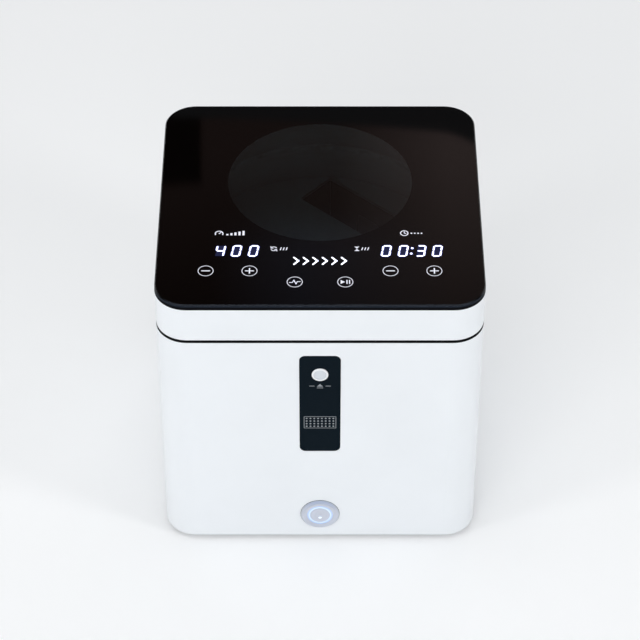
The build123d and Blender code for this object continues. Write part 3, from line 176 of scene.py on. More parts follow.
# ---------------------------------------------------------- small geometry
def make_piece(name, mesh, material, body):
    """Turn a finished bmesh into a piece that rides on a body."""
    bmesh.ops.recalc_face_normals(mesh, faces=mesh.faces)
    data = bpy.data.meshes.new(name)
    mesh.to_mesh(data)
    mesh.free()
    piece = bpy.data.objects.new(name, data)
    bpy.context.scene.collection.objects.link(piece)
    data.materials.append(material)
    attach(piece, body)


class Print:
    """Flat marks with a little thickness, gathered into one mesh on a surface."""

    def __init__(self, name, place, thickness=PRINT_RISE):
        self.name = name
        self.place = place
        self.thickness = thickness
        self.mesh = bmesh.new()

    def prism(self, outline):
        low = [self.mesh.verts.new(self.place(u, v, 0.0)) for u, v in outline]
        high = [self.mesh.verts.new(self.place(u, v, self.thickness)) for u, v in outline]
        self.mesh.faces.new(reversed(low))
        self.mesh.faces.new(high)
        for i in range(len(outline)):
            j = (i + 1) % len(outline)
            self.mesh.faces.new((low[i], low[j], high[j], high[i]))

    def disc(self, centre, radius, steps=32):
        turn = [2 * pi * i / steps for i in range(steps)]
        self.prism([(centre[0] + radius * cos(a), centre[1] + radius * sin(a)) for a in turn])

    def arc(self, centre, radius, width, start=0.0, end=360.0):
        """A band of a circle; a whole turn closes on itself."""
        whole = end - start >= 360.0
        steps = max(6, int(abs(end - start) / 6))
        inner, outer = radius - width / 2, radius + width / 2
        rings = []
        for i in range(steps if whole else steps + 1):
            a = radians(start + (end - start) * i / steps)
            corners = ((inner, 0.0), (outer, 0.0), (outer, self.thickness), (inner, self.thickness))
            rings.append([
                self.mesh.verts.new(self.place(centre[0] + r * cos(a), centre[1] + r * sin(a), h))
                for r, h in corners
            ])
        pairs = list(zip(rings, rings[1:])) + ([(rings[-1], rings[0])] if whole else [])
        for a, b in pairs:
            for k in range(4):
                m = (k + 1) % 4
                self.mesh.faces.new((a[k], b[k], b[m], a[m]))
        if not whole:
            self.mesh.faces.new(reversed(rings[0]))
            self.mesh.faces.new(rings[-1])

    def stroke(self, start, end, width):
        """A straight line with round ends."""
        along = Vector((end[0] - start[0], end[1] - start[1])).normalized()
        side = Vector((-along.y, along.x))
        outline = []
        for centre, sign in ((Vector(end), 1), (Vector(start), -1)):
            for i in range(7):
                a = radians(-90 + 30 * i)
                point = centre + sign * (along * cos(a) + side * sin(a)) * width / 2
                outline.append((point.x, point.y))
        self.prism(outline)

    def bar(self, start, end, width):
        """A display segment: a straight bar with pointed ends."""
        along = (Vector(end) - Vector(start)).normalized()
        side = Vector((-along.y, along.x))
        half = width / 2
        a, b = Vector(start), Vector(end)
        points = (
            a, a + along * half - side * half, b - along * half - side * half,
            b, b - along * half + side * half, a + along * half + side * half,
        )
        self.prism([(p.x, p.y) for p in points])

    def done(self, material, body):
        make_piece(self.name, self.mesh, material, body)


def body_band(name, section, level, material, body):
    """A closed strip round the body; its section's corners are (out from the face, up from the level)."""
    corner_steps = 12
    straight_x = frame_high.x / MM - CORNER_RADIUS
    straight_y = frame_high.y / MM - CORNER_RADIUS
    mesh = bmesh.new()
    rings = []
    for side_x, side_y, start in ((1, 1, 0), (-1, 1, 90), (-1, -1, 180), (1, -1, 270)):
        for i in range(corner_steps + 1):
            a = radians(start + 90 * i / corner_steps)
            rings.append([
                mesh.verts.new((
                    (side_x * straight_x + (CORNER_RADIUS + out) * cos(a)) * MM,
                    (side_y * straight_y + (CORNER_RADIUS + out) * sin(a)) * MM,
                    (level + rise) * MM,
                ))
                for out, rise in section
            ])
    count = len(section)
    for a, b in zip(rings, rings[1:] + rings[:1]):
        for k in range(count):
            mesh.faces.new((a[k], b[k], b[(k + 1) % count], a[(k + 1) % count]))
    make_piece(name, mesh, material, body)


def on_glass(u, v, h):
    return Vector((u * MM, v * MM, glass_top + h * MM))


def on_front(u, v, h):
    return Vector((u * MM, label_face - h * MM, v * MM))


def on_cap(u, v, h):
    return Vector((u * MM, switch_low.y + CAP_HIGHLIGHT_SINK - h * MM, v * MM))


def on_housing(u, v, h):
    return Vector((u * MM, frame_low.y - h * MM, v * MM))


# ---------------------------------------------------------------- materials
class Nodes:
    """Short ways to make and join the nodes of one tree."""

    def __init__(self, tree):
        self.tree = tree

    def node(self, kind, **values):
        made = self.tree.nodes.new(kind)
        for key, value in values.items():
            if key in made.inputs:
                made.inputs[key].default_value = value
            else:
                setattr(made, key, value)
        return made

    def link(self, output, socket):
        self.tree.links.new(output, socket)

    def join(self, made, sockets, values):
        """Give each socket a fixed value, or a link from another node's output."""
        for socket, value in zip(sockets, values):
            if isinstance(value, bpy.types.NodeSocket):
                self.link(value, socket)
            else:
                socket.default_value = value
        return made

    def math(self, operation, first, second=0.0):
        made = self.node("ShaderNodeMath", operation=operation)
        return self.join(made, made.inputs, (first, second)).outputs["Value"]

    def vector(self, operation, first, second=(0.0, 0.0, 0.0)):
        made = self.node("ShaderNodeVectorMath", operation=operation)
        return self.join(made, made.inputs, (first, second))

    def span(self, value, ends, results=(0.0, 1.0), shape="LINEAR"):
        """A change from one result to the other as the value goes from end to end."""
        made = self.node("ShaderNodeMapRange", interpolation_type=shape)
        names = ("Value", "From Min", "From Max", "To Min", "To Max")
        self.join(made, [made.inputs[name] for name in names], (value, *ends, *results))
        return made.outputs["Result"]

    def ramp(self, value, stops):
        made = self.node("ShaderNodeValToRGB")
        band = made.color_ramp
        for position, colour in stops[1:-1]:
            band.elements.new(position).color = (*colour, 1.0)
        for element, (position, colour) in ((band.elements[0], stops[0]), (band.elements[-1], stops[-1])):
            element.position = position
            element.color = (*colour, 1.0)
        self.link(value, made.inputs["Fac"])
        return made.outputs["Color"]

    def mix_shader(self, factor, first, second):
        made = self.node("ShaderNodeMixShader")
        return self.join(made, made.inputs, (factor, first, second)).outputs["Shader"]


class Finish(Nodes):
    """A node material with one principled shader and a few ways to give it detail."""

    def __init__(self, name, colour, roughness, metallic=0.0):
        self.material = bpy.data.materials.new(name)
        self.material.use_nodes = True
        super().__init__(self.material.node_tree)
        self.shader = self.tree.nodes["Principled BSDF"]
        self.colour = colour
        self.roughness = roughness
        self.set("Base Color", (*colour, 1.0))
        self.set("Roughness", roughness)
        self.set("Metallic", metallic)
        self.coords = self.node("ShaderNodeTexCoord")
        self.bump_output = None

    def set(self, socket, value):
        self.shader.inputs[socket].default_value = value

    def reach(self, centre, axes):
        """Distance from a point, seen along the axis that is left out."""
        offset = self.vector("SUBTRACT", self.coords.outputs["Object"], centre).outputs["Vector"]
        flat = self.vector("MULTIPLY", offset, axes).outputs["Vector"]
        return self.vector("LENGTH", flat).outputs["Value"]

    def noise(self, scale, detail=3.0, stretch=(1.0, 1.0, 1.0)):
        mapping = self.node("ShaderNodeMapping")
        mapping.inputs["Scale"].default_value = stretch
        self.link(self.coords.outputs["Object"], mapping.inputs["Vector"])
        texture = self.node("ShaderNodeTexNoise", Scale=scale, Detail=detail)
        self.link(mapping.outputs["Vector"], texture.inputs["Vector"])
        return texture.outputs["Fac"]

    def vary_colour(self, amount, scale, detail=3.0, stretch=(1.0, 1.0, 1.0)):
        """Mottle the colour between a darker and a lighter tone."""
        dark = tuple(c * (1 - amount) for c in self.colour)
        light = tuple(min(1.0, c * (1 + amount)) for c in self.colour)
        mottle = self.ramp(self.noise(scale, detail, stretch), ((0.35, dark), (0.65, light)))
        self.link(mottle, self.shader.inputs["Base Color"])
        return self

    def vary_roughness(self, spread, scale, stretch=(1.0, 1.0, 1.0)):
        ends = (max(0.02, self.roughness - spread), min(1.0, self.roughness + spread))
        varied = self.span(self.noise(scale, 4.0, stretch), (0.0, 1.0), ends)
        self.link(varied, self.shader.inputs["Roughness"])
        return self

    def bump(self, depth_mm, scale, detail=2.0, stretch=(1.0, 1.0, 1.0), source=None):
        bump = self.node("ShaderNodeBump", Strength=1.0, Distance=depth_mm * MM)
        self.link(source or self.noise(scale, detail, stretch), bump.inputs["Height"])
        if self.bump_output:
            self.link(self.bump_output, bump.inputs["Normal"])
        self.bump_output = bump.outputs["Normal"]
        self.link(self.bump_output, self.shader.inputs["Normal"])
        return self


def moulded(name, colour, roughness=0.42, grain=0.012, coat=0.0, gloss=0.5):
    """Moulded plastic: fine even grain, a trace of colour and gloss variation."""
    made = Finish(name, colour, roughness)
    made.set("Specular IOR Level", gloss)
    made.vary_colour(0.012, 14.0).vary_roughness(0.05, 60.0).bump(grain, 1400.0)
    made.bump(0.05, 9.0)
    made.set("Coat Weight", coat)
    made.set("Coat Roughness", 0.25)
    return made.material


def rubber(name, colour):
    made = Finish(name, colour, 0.75)
    made.vary_colour(0.2, 220.0).vary_roughness(0.1, 300.0).bump(0.03, 900.0)
    return made.material


def brushed(name, colour, roughness=0.3, stretch=(60.0, 60.0, 1.0), depth=0.006, metallic=1.0):
    """Metal with fine lines drawn out along one axis."""
    made = Finish(name, colour, roughness, metallic=metallic)
    made.vary_colour(0.08, 25.0, 5.0, stretch).vary_roughness(0.12, 25.0, stretch)
    made.bump(depth, 30.0, 4.0, stretch)
    return made.material


def anodised(name, colour, roughness=0.5):
    """Bead-blasted and dyed alloy: a very fine even sparkle."""
    made = Finish(name, colour, roughness, metallic=0.75)
    made.vary_colour(0.05, 500.0).vary_roughness(0.06, 40.0).bump(0.01, 1600.0)
    return made.material


def laminated(name, colour):
    """Stacked sheets: thin level lines up the side."""
    made = Finish(name, colour, 0.5, metallic=0.8)
    wave = made.node("ShaderNodeTexWave", Scale=650.0, Distortion=0.3, bands_direction="Z")
    made.link(made.coords.outputs["Object"], wave.inputs["Vector"])
    made.vary_colour(0.15, 90.0).bump(0.08, 1.0, source=wave.outputs["Fac"])
    return made.material


def enamelled_wire(name, colour):
    made = Finish(name, colour, 0.28, metallic=0.6)
    wave = made.node("ShaderNodeTexWave", Scale=420.0, Distortion=1.5, bands_direction="DIAGONAL")
    made.link(made.coords.outputs["Object"], wave.inputs["Vector"])
    made.vary_colour(0.2, 200.0).bump(0.2, 1.0, source=wave.outputs["Fac"])
    return made.material


def circuit_board(name, colour):
    """Green solder mask in two tones, with a lighter maze of tracks."""
    made = Finish(name, colour, 0.35)
    cells = made.node("ShaderNodeTexBrick", Scale=160.0, **{"Mortar Size": 0.035})
    cells.inputs["Color1"].default_value = (*colour, 1.0)
    cells.inputs["Color2"].default_value = (*[c * 0.8 for c in colour], 1.0)
    cells.inputs["Mortar"].default_value = (colour[0] * 2.2, colour[1] * 1.7, colour[2] * 1.8, 1.0)
    made.link(made.coords.outputs["Object"], cells.inputs["Vector"])
    made.link(cells.outputs["Color"], made.shader.inputs["Base Color"])
    made.vary_roughness(0.08, 120.0).bump(0.03, 1.0, source=cells.outputs["Fac"])
    made.set("Coat Weight", 0.4)
    return made.material


def smoked_glass(name, tint):
    """Tinted glass that lets lamp light through, ground at its sides with a painted highlight along their
    top, and printed black below.
    """
    made = Finish(name, tint, 0.015)
    made.set("Transmission Weight", 1.0)
    made.set("IOR", 1.5)
    made.vary_roughness(0.008, 6.0)
    clear = made.node("ShaderNodeBsdfTransparent")
    clear.inputs["Color"].default_value = (*tint, 1.0)
    path = made.node("ShaderNodeLightPath")
    see_through = made.mix_shader(
        path.outputs["Is Shadow Ray"], made.shader.outputs["BSDF"], clear.outputs["BSDF"],
    )
    place = made.node("ShaderNodeSeparateXYZ")
    made.link(made.coords.outputs["Object"], place.inputs["Vector"])
    # The upright sides are those whose own normal lies level: ground and near black low down, lightening
    # upwards to a painted bluish highlight
    ground = made.node("ShaderNodeBsdfPrincipled", Roughness=0.5)
    ground.inputs["Specular IOR Level"].default_value = 0.04
    height = made.span(place.outputs["Z"], [glass_top - depth * MM for depth in SIDE_HIGHLIGHT_SPAN])
    painted_side_highlight = made.ramp(height, ((0.30, (0.0015, 0.0021, 0.0038)), (0.62, (0.0150, 0.0200, 0.0300))))
    made.link(painted_side_highlight, ground.inputs["Base Color"])
    normal = made.node("ShaderNodeSeparateXYZ")
    made.link(made.coords.outputs["Normal"], normal.inputs["Vector"])
    upright = made.math("LESS_THAN", made.math("ABSOLUTE", normal.outputs["Z"]), LEVEL_NORMAL)
    sides = made.mix_shader(upright, see_through, ground.outputs["BSDF"])
    # The underside is black, except in the round window
    window = (WINDOW_CENTRE[0] * MM, WINDOW_CENTRE[1] * MM, 0.0)
    beyond = made.math("GREATER_THAN", made.reach(window, (1.0, 1.0, 0.0)), WINDOW_RADIUS * MM)
    under = made.math("LESS_THAN", place.outputs["Z"], glass_bottom + UNDERSIDE * MM)
    black = made.node("ShaderNodeBsdfDiffuse")
    black.inputs["Color"].default_value = (0.0010, 0.0009, 0.0009, 1.0)
    backed = made.mix_shader(made.math("MULTIPLY", beyond, under), sides, black.outputs["BSDF"])
    made.link(backed, made.tree.nodes["Material Output"].inputs["Surface"])
    return made.material


def lit(name, colour, strength):
    """A light source behind a diffuser, a little uneven."""
    made = Finish(name, colour, 0.4)
    made.vary_colour(0.04, 180.0)
    made.set("Emission Color", (*colour, 1.0))
    made.set("Emission Strength", strength)
    return made.material


def lit_ring(name, core, rim, strength):
    """A lit ring, brightest along one radius and bluer towards its edges."""
    made = Finish(name, core, 0.3)
    axis = (SWITCH_AXIS[0] * MM, 0.0, SWITCH_AXIS[1] * MM)
    ends = ((RING_RADIUS - RING_REACH) * MM, (RING_RADIUS + RING_REACH) * MM)
    width = made.span(made.reach(axis, (1.0, 0.0, 1.0)), ends)
    tone = made.ramp(width, ((0.0, rim), (0.5, core), (1.0, rim)))
    made.link(tone, made.shader.inputs["Base Color"])
    made.link(tone, made.shader.inputs["Emission Color"])
    made.set("Emission Strength", strength)
    made.vary_roughness(0.05, 90.0)
    return made.material


def ink(name, colour):
    """Screen-printed ink, faintly mottled."""
    made = Finish(name, colour, 0.45)
    made.vary_colour(0.06, 900.0).bump(0.004, 1500.0)
    return made.material


MATERIALS = {
    "white_abs": moulded("white_abs", (0.855, 0.885, 0.915), 0.34, coat=0.25),
    "steel_plate": brushed("steel_plate", (0.60, 0.61, 0.63), 0.38, (1.0, 50.0, 50.0)),
    "screw_steel": brushed("screw_steel", (0.55, 0.56, 0.58), 0.3),
    "black_rubber": rubber("black_rubber", (0.018, 0.018, 0.020)),
    "seal_grey": rubber("seal_grey", (0.22, 0.24, 0.245)),
    "bowl_steel": brushed("bowl_steel", (0.27, 0.29, 0.295), 0.6, (1.0, 1.0, 70.0), metallic=0.35),
    "motor_alloy": brushed("motor_alloy", (0.66, 0.67, 0.69), 0.35, (1.0, 1.0, 80.0)),
    "core_steel": laminated("core_steel", (0.20, 0.20, 0.21)),
    "coil_copper": enamelled_wire("coil_copper", (0.60, 0.22, 0.08)),
    "ground_steel": brushed("ground_steel", (0.70, 0.71, 0.73), 0.16, (1.0, 1.0, 90.0), 0.002),
    "rotor_grey": anodised("rotor_grey", (0.30, 0.32, 0.325)),
    "cover_glass": smoked_glass("cover_glass", (0.355, 0.405, 0.405)),
    "black_print": moulded("black_print", (0.004, 0.0035, 0.0035), 0.8, gloss=0.0),
    "liner_grey": moulded("liner_grey", (0.22, 0.24, 0.245), 0.55, 0.03),
    "board_green": circuit_board("board_green", (0.02, 0.13, 0.06)),
    "display_black": moulded("display_black", (0.012, 0.012, 0.016), 0.25),
    "pad_foam": rubber("pad_foam", (0.06, 0.06, 0.065)),
    "label_black": moulded("label_black", (0.0042, 0.0088, 0.0135), 0.6, 0.02, gloss=0.03),
    "button_white": moulded("button_white", (0.66, 0.70, 0.75), 0.35, coat=0.2),
    "nylon_black": moulded("nylon_black", (0.02, 0.02, 0.021), 0.5, 0.03),
    "switch_metal": brushed("switch_metal", (0.67, 0.69, 0.755), 0.5, (1.0, 40.0, 1.0), 0.003),
    "ring_light": lit_ring("ring_light", (0.56, 0.66, 0.74), (0.36, 0.46, 0.66), 0.5),
    "pin_brass": brushed("pin_brass", (0.72, 0.62, 0.38), 0.25, (1.0, 60.0, 1.0)),
}
# The plate cradles lie dark in the drum's slots, and the sleeve is whiter than its button
OWN_MATERIALS = {
    "plate_cradles": anodised("cradle_black", (0.030, 0.033, 0.035)),
    "open_button_sleeve": moulded("sleeve_white", (0.90, 0.92, 0.94), 0.35, coat=0.2),
}
slot_of = {part["node"]: part["material_slot"] for part in frame["record"]["subparts"]}
for node_name, node_object in frame["nodes"].items():
    material = OWN_MATERIALS.get(node_name) or MATERIALS[slot_of[node_name]]
    node_object.data.materials.clear()
    node_object.data.materials.append(material)

# ------------------------------------------------------------ lit read-outs
SEGMENTS = {"0": "abcdef", "3": "abcdg", "4": "bcfg"}
DIGIT_HALF = ((DIGIT_WIDTH - SEGMENT_WIDTH) / 2, (DIGIT_HEIGHT - SEGMENT_WIDTH) / 2)
lit_white = lit("lit_white", (0.86, 0.89, 1.0), 1.5)
lit_blue = lit("lit_blue", (0.035, 0.05, 0.30), 0.8)
lit_haze = lit("lit_haze", (0.005, 0.007, 0.032), 0.8)
ink_glow = lit("ink_glow", (0.66, 0.67, 0.75), 0.5)


def segment_ends(letter):
    """End points of a display segment about the digit's centre."""
    w, h = DIGIT_HALF
    ends = {
        "a": ((-w, h), (w, h)),
        "b": ((w, h), (w, 0)),
        "c": ((w, 0), (w, -h)),
        "d": ((-w, -h), (w, -h)),
        "e": ((-w, 0), (-w, -h)),
        "f": ((-w, h), (-w, 0)),
        "g": ((-w, 0), (w, 0)),
    }
    return ends[letter]


def draw_digit(marks, centre_x, figure, width, trim):
    """One slanted figure, its segments trimmed at their ends."""
    for letter in SEGMENTS[figure]:
        start, end = (Vector(p) for p in segment_ends(letter))
        along = (end - start).normalized() * trim
        slanted = []
        for point in (start + along, end - along):
            slanted.append((centre_x + point.x + DIGIT_SLANT * point.y, DIGIT_Y + point.y))
        marks.bar(*slanted, width)


def draw_readout(name, digits, colon_x=None):
    """The figures in white over a narrow blue glow, each on a faint blue field."""
    haze = Print(f"{name}_haze", on_glass)
    glow = Print(f"{name}_glow", on_glass, 2 * PRINT_RISE)
    figures = Print(f"{name}_figures", on_glass, 3 * PRINT_RISE)
    w, h = DIGIT_HALF
    for centre_x, figure in digits:
        haze.prism([
            (centre_x + across + DIGIT_SLANT * rise, DIGIT_Y + rise)
            for across, rise in ((-w, -h), (w, -h), (w, h), (-w, h))
        ])
        draw_digit(glow, centre_x, figure, SEGMENT_WIDTH + GLOW_SPREAD, GLOW_TRIM)
        draw_digit(figures, centre_x, figure, SEGMENT_WIDTH, SEGMENT_TRIM)
    if colon_x is not None:
        for rise in (-COLON_RISE, COLON_RISE):
            place = (colon_x + DIGIT_SLANT * rise, DIGIT_Y + rise)
            glow.disc(place, COLON_RADIUS + GLOW_SPREAD / 2)
            figures.disc(place, COLON_RADIUS)
    haze.done(lit_haze, "lid")
    glow.done(lit_blue, "lid")
    figures.done(lit_white, "lid")


draw_readout("speed_readout", SPEED_DIGITS)
draw_readout("time_readout", TIME_DIGITS, COLON_X)

# ------------------------------------------------------- touch keys and signs
keys = Print("touch_key_rings", on_glass)
for side in (-1, 1):
    for x in OUTER_KEYS:
        keys.arc((side * x, OUTER_KEY_Y), KEY_RADIUS - KEY_LINE / 2, KEY_LINE)
    keys.arc((side * INNER_KEY_X, INNER_KEY_Y), KEY_RADIUS - KEY_LINE / 2, KEY_LINE)
keys.done(ink_glow, "lid")

signs = Print("touch_key_signs", on_glass)
outer_x = sorted(side * x for side in (-1, 1) for x in OUTER_KEYS)
for x, plus in zip(outer_x, (False, True, False, True)):
    signs.stroke((x - MINUS_HALF, OUTER_KEY_Y), (x + MINUS_HALF, OUTER_KEY_Y), SIGN_LINE)
    if plus:
        for side in (-1, 1):
            start, end = ((x, OUTER_KEY_Y + side * rise) for rise in PLUS_RISE)
            signs.stroke(start, end, SIGN_LINE)
# Left inner key: a short pulse. Right inner key: run and halt.
pulse = [(x - INNER_KEY_X, y + INNER_KEY_Y) for x, y in PULSE]
for start, end in zip(pulse, pulse[1:]):
    signs.stroke(start, end, PULSE_LINE)
signs.prism([(x + INNER_KEY_X, y + INNER_KEY_Y) for x, y in RUN_ARROW])
for x in HALT_BARS:
    start, end = ((INNER_KEY_X + x, INNER_KEY_Y + rise) for rise in (-HALT_HALF, HALT_HALF))
    signs.stroke(start, end, HALT_LINE)
signs.done(ink_glow, "lid")


def draw_gauge(marks, x, y, size):
    """A dial with a needle, and five rising steps beside it."""
    marks.arc((x, y - 0.1 * size), 0.46 * size, 0.13 * size, -30, 210)
    marks.stroke((x, y - 0.1 * size), (x + 0.25 * size, y + 0.18 * size), 0.12 * size)
    for i in range(5):
        left = x + (0.85 + 0.48 * i) * size
        right = left + 0.26 * size
        low, high = y - 0.4 * size, y - (0.15 - 0.14 * i) * size
        marks.prism([(left, low), (right, low), (right, high), (left, high)])


def draw_clock(marks, x, y, size):
    """A clock face, and four dots beside it."""
    marks.arc((x, y), 0.44 * size, 0.12 * size)
    marks.stroke((x, y), (x, y + 0.27 * size), 0.11 * size)
    marks.stroke((x, y), (x + 0.2 * size, y - 0.08 * size), 0.11 * size)
    for i in range(4):
        marks.disc((x + (0.85 + 0.4 * i) * size, y - 0.02 * size), 0.11 * size)


def draw_turn(marks, x, y, size):
    """Two arrows chasing round a circle."""
    for start in (20, 200):
        marks.arc((x, y), 0.4 * size, 0.13 * size, start, start + 120)
        tip = radians(start + 142)
        for edge in (-0.24, 0.24):
            back = radians(start + 112)
            marks.stroke(
                (x + (0.4 + edge) * size * cos(back), y + (0.4 + edge) * size * sin(back)),
                (x + 0.4 * size * cos(tip), y + 0.4 * size * sin(tip)),
                0.12 * size,
            )


def draw_hourglass(marks, x, y, size):
    """Two triangles tip to tip between two bars."""
    for sign in (-1, 1):
        level = y + sign * 0.45 * size
        marks.stroke((x - 0.32 * size, level), (x + 0.32 * size, level), 0.12 * size)
        marks.prism([
            (x - 0.26 * size, y + sign * 0.38 * size), (x + 0.26 * size, y + sign * 0.38 * size), (x, y),
        ])


def draw_ticks(marks, x, y, size):
    """Three slanted strokes."""
    for i in range(3):
        foot = (x + i * 0.5 * size, y - 0.3 * size)
        head = (x + (i * 0.5 + 0.16) * size, y + 0.3 * size)
        marks.stroke(foot, head, TICK_LINE)


# Each legend's drawing, place and size
LEGENDS = (
    (draw_gauge, -79.2, LEGEND_Y, 6.6),
    (draw_clock, 66.2, LEGEND_Y, 6.6),
    (draw_turn, -36.0, UNIT_Y, 5.6),
    (draw_ticks, -31.0, UNIT_Y, 4.6),
    (draw_hourglass, 28.8, UNIT_Y, 5.0),
    (draw_ticks, 32.6, UNIT_Y, 4.6),
)
legends = Print("panel_legends", on_glass)
for draw_legend, x, y, size in LEGENDS:
    draw_legend(legends, x, y, size)
legends.done(ink_glow, "lid")

# Run state: a row of chevrons in the middle of the panel
run_state = Print("run_state_sign", on_glass)
for i in range(CHEVRONS):
    x = CHEVRON_START + CHEVRON_PITCH * i
    for rise in (-CHEVRON_HALF, CHEVRON_HALF):
        run_state.stroke((x, CHEVRON_Y + rise), (x + CHEVRON_TIP, CHEVRON_Y), CHEVRON_LINE)
run_state.done(lit_white, "lid")

# ------------------------------------------------------------- front overlay
overlay_grey = ink("overlay_grey", (0.27, 0.29, 0.315))
overlay = Print("overlay_open_sign", on_front)
overlay.prism([(x, OPEN_SIGN_Z + rise) for x, rise in OPEN_ARROW])
bar_z = OPEN_SIGN_Z + OPEN_BAR[1]
overlay.stroke((-OPEN_BAR[0], bar_z), (OPEN_BAR[0], bar_z), OPEN_SIGN_LINE)
for side in (-1, 1):
    start, end = ((side * x, OPEN_SIGN_Z) for x in OPEN_DASH)
    overlay.stroke(start, end, OPEN_SIGN_LINE)
overlay.done(overlay_grey, "housing")

# A plate seen from above: its outline and its wells
plate_sign = Print("overlay_plate_sign", on_front)
left, right, low, high = PLATE_SIGN
corners = ((left, low), (right, low), (right, high), (left, high))
for start, end in zip(corners, corners[1:] + corners[:1]):
    plate_sign.stroke(start, end, PLATE_SIGN_LINE)
for column in range(WELLS[0]):
    for row in range(WELLS[1]):
        well_x = left + WELL_START[0] + WELL_PITCH[0] * column
        well_z = low + WELL_START[1] + WELL_PITCH[1] * row
        plate_sign.disc((well_x, well_z), WELL_RADIUS, 16)
plate_sign.done(overlay_grey, "housing")

# ---------------------------------- black strips of painted shade at the mouth and under the glass
# Dark strips painted as shade: one in the gap between housing and lid, one under the glass's edge
painted_shade_black = moulded("painted_shade_black", (0.0016, 0.0018, 0.0024), 0.6, gloss=0.08)
body_band("mouth_gap_shade", MOUTH_SHADE_SECTION, frame_low.z / MM, painted_shade_black, "housing")
body_band("glass_edge_shade", GLASS_EDGE_SHADE_SECTION, frame_high.z / MM, painted_shade_black, "lid")

# -------------------------------------------------------------- power switch
switch_height = (switch_low.z + switch_high.z) / 2 / MM
bezel_radius = (bezel_high.x - bezel_low.x) / 2 / MM
# A thin grey ring round the switch is painted shade, where the bezel meets the housing
switch_shade_ring = Print("switch_shade_ring", on_housing, SHADE_RING_RISE)
switch_shade_ring.arc((0.0, switch_height), bezel_radius, SHADE_RING_LINE)
switch_shade_ring.done(MATERIALS["seal_grey"], "housing")

# A small glowing dot below the cap's middle: a painted highlight
cap_highlight = Print("power_cap_highlight", on_cap, CAP_HIGHLIGHT_RISE)
highlight_height = switch_height - CAP_HIGHLIGHT_DROP
cap_highlight.stroke((-CAP_HIGHLIGHT_HALF, highlight_height), (CAP_HIGHLIGHT_HALF, highlight_height), CAP_HIGHLIGHT_LINE)
cap_highlight.done(lit("cap_highlight_glow", (0.84, 0.92, 1.0), 0.55), "power_button")

# ------------------------------------------------------------ floor and light
bpy.ops.mesh.primitive_plane_add(size=FLOOR_SIZE, location=(0, 0, 0))
floor = bpy.context.object
floor.name = "floor"
floor_finish = Finish("floor_paper", FLOOR_COLOUR, 0.9)
floor_finish.vary_colour(0.004, 3.0)
# Paper white to the camera and to mirror-like surfaces, with no more light on the object
floor_path = floor_finish.node("ShaderNodeLightPath")
seen = floor_path.outputs["Is Camera Ray"]
for ray in ("Is Glossy Ray", "Is Transmission Ray"):
    seen = floor_finish.math("MAXIMUM", seen, floor_path.outputs[ray])
floor_finish.set("Emission Color", ROOM_COLOUR)
glow = floor_finish.math("MULTIPLY", seen, FLOOR_GLOW)
floor_finish.link(glow, floor_finish.shader.inputs["Emission Strength"])
floor.data.materials.append(floor_finish.material)


class Room(Nodes):
    """The world: even white light, and a dim room that only glossy surfaces mirror."""

    def __init__(self):
        world = bpy.data.worlds.new("studio")
        bpy.context.scene.world = world
        world.use_nodes = True
        super().__init__(world.node_tree)
        self.tree.nodes.clear()
        split = self.node("ShaderNodeSeparateXYZ")
        self.link(self.node("ShaderNodeTexCoord").outputs["Generated"], split.inputs["Vector"])
        self.x, self.y, self.z = (split.outputs[axis] for axis in "XYZ")

    def step(self, value, ends, results=(0.0, 1.0)):
        return self.span(value, ends, results, "SMOOTHSTEP")

    def blend(self, factor, first, second):
        """Blend two colours, each fixed or from another node."""
        made = self.node("ShaderNodeMix", data_type="RGBA")
        colours = [(*c, 1.0) if isinstance(c, tuple) else c for c in (first, second)]
        sockets = (made.inputs["Factor"], made.inputs[6], made.inputs[7])
        return self.join(made, sockets, (factor, *colours)).outputs[2]

    def scale(self, colour, factor):
        made = self.node("ShaderNodeVectorMath", operation="SCALE")
        return self.join(made, (made.inputs[0], made.inputs["Scale"]), (colour, factor)).outputs["Vector"]

    def background(self, colour, strength):
        made = self.node("ShaderNodeBackground", Strength=strength)
        return self.join(made, made.inputs, (colour,)).outputs["Background"]


room = Room()
# What the lid's glass mirrors: a dim room at the left, a warm wall at the right, cooler lower down
across = room.span(room.x, WALL_SPAN)
upper = room.ramp(across, ((0.25, DIM_ROOM), (0.55, DIM_ROOM), (0.85, WARM_WALL)))
lower = room.ramp(across, ((0.20, DIM_ROOM), (0.45, COOL_WALL), (0.85, WARM_WALL)))
walls = room.blend(room.step(room.z, WARM_TO_COOL), upper, lower)
doorway = room.math("MAXIMUM", room.step(room.x, DOORWAY_SIDE), room.step(room.z, DOORWAY_FOOT))
fall = room.span(room.z, FALL_SPAN, FALL_LIGHT)
shade = room.math("MULTIPLY", room.step(doorway, (0.0, 1.0), (DOORWAY_LIGHT, 1.0)), fall)
walls = room.scale(walls, shade)
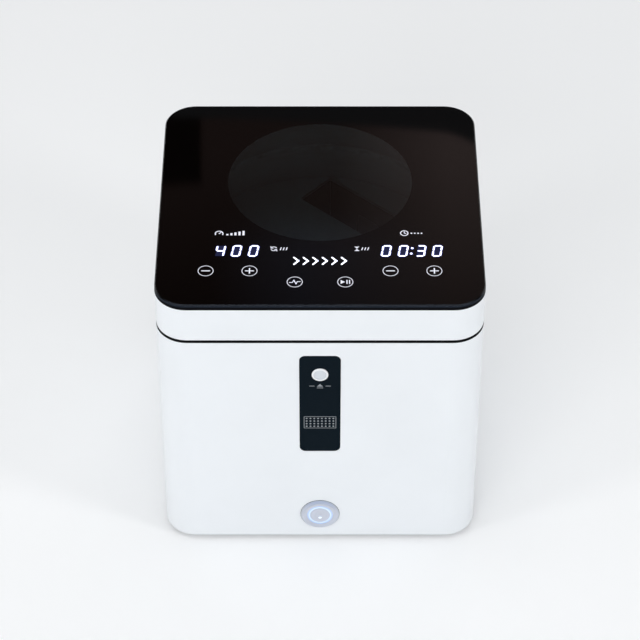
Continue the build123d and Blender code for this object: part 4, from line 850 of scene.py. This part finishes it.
# A dark beam over the warm wall, sagging at its right end
sag = room.math("MAXIMUM", room.math("SUBTRACT", room.x, BEAM_SAG_FROM), 0.0)
sag = room.math("MULTIPLY", room.math("MULTIPLY", sag, sag), BEAM_SAG)
edge = room.math("ADD", room.math("MULTIPLY", room.x, BEAM_SLOPE), sag)
below_beam = room.step(room.math("SUBTRACT", room.z, edge), BEAM_EDGE)
walls = room.blend(below_beam, DARK_BEAM, walls)
# Pale low down, cool behind the camera and softly lit overhead
mirrored = room.blend(room.step(room.z, LOW_SPAN), LOW_DOWN, walls)
mirrored = room.blend(room.step(room.y, BEHIND_SPAN), BEHIND_CAMERA, mirrored)
mirrored = room.blend(room.step(room.z, CEILING_SPAN), mirrored, CEILING)
path = room.node("ShaderNodeLightPath")
lit_room = room.mix_shader(
    path.outputs["Is Glossy Ray"], room.background(ROOM_COLOUR, ROOM_LIGHT), room.background(mirrored, 1.0),
)
backdrop = room.background((1.0, 1.0, 1.0, 1.0), 1.0)
seen_room = room.mix_shader(path.outputs["Is Camera Ray"], lit_room, backdrop)
room.link(seen_room, room.node("ShaderNodeOutputWorld").inputs["Surface"])


def area_lamp(name, place, aim, size, power):
    """A soft lamp that casts light but shows in no mirror and through no glass."""
    lamp_data = bpy.data.lights.new(name, "AREA")
    lamp_data.shape = "RECTANGLE"
    lamp_data.size, lamp_data.size_y = size
    lamp_data.energy = power
    lamp = bpy.data.objects.new(name, lamp_data)
    lamp.location = place
    lamp.rotation_euler = (Vector(aim) - Vector(place)).to_track_quat("-Z", "Y").to_euler()
    lamp.visible_glossy = False
    lamp.visible_transmission = False
    bpy.context.scene.collection.objects.link(lamp)


for lamp_values in LAMPS:
    area_lamp(*lamp_values)

camera_data = bpy.data.cameras.new("camera")
camera_data.sensor_width = SENSOR_MM
camera_data.lens = LENS_MM
camera = bpy.data.objects.new("camera", camera_data)
pitch = radians(CAMERA_PITCH)
camera.location = (0, -CAMERA_DISTANCE * cos(pitch), AIM_HEIGHT + CAMERA_DISTANCE * sin(pitch))
camera.rotation_euler = (pi / 2 - pitch, 0, 0)
bpy.context.scene.collection.objects.link(camera)
bpy.context.scene.camera = camera
bpy.context.scene.view_settings.view_transform = "Standard"
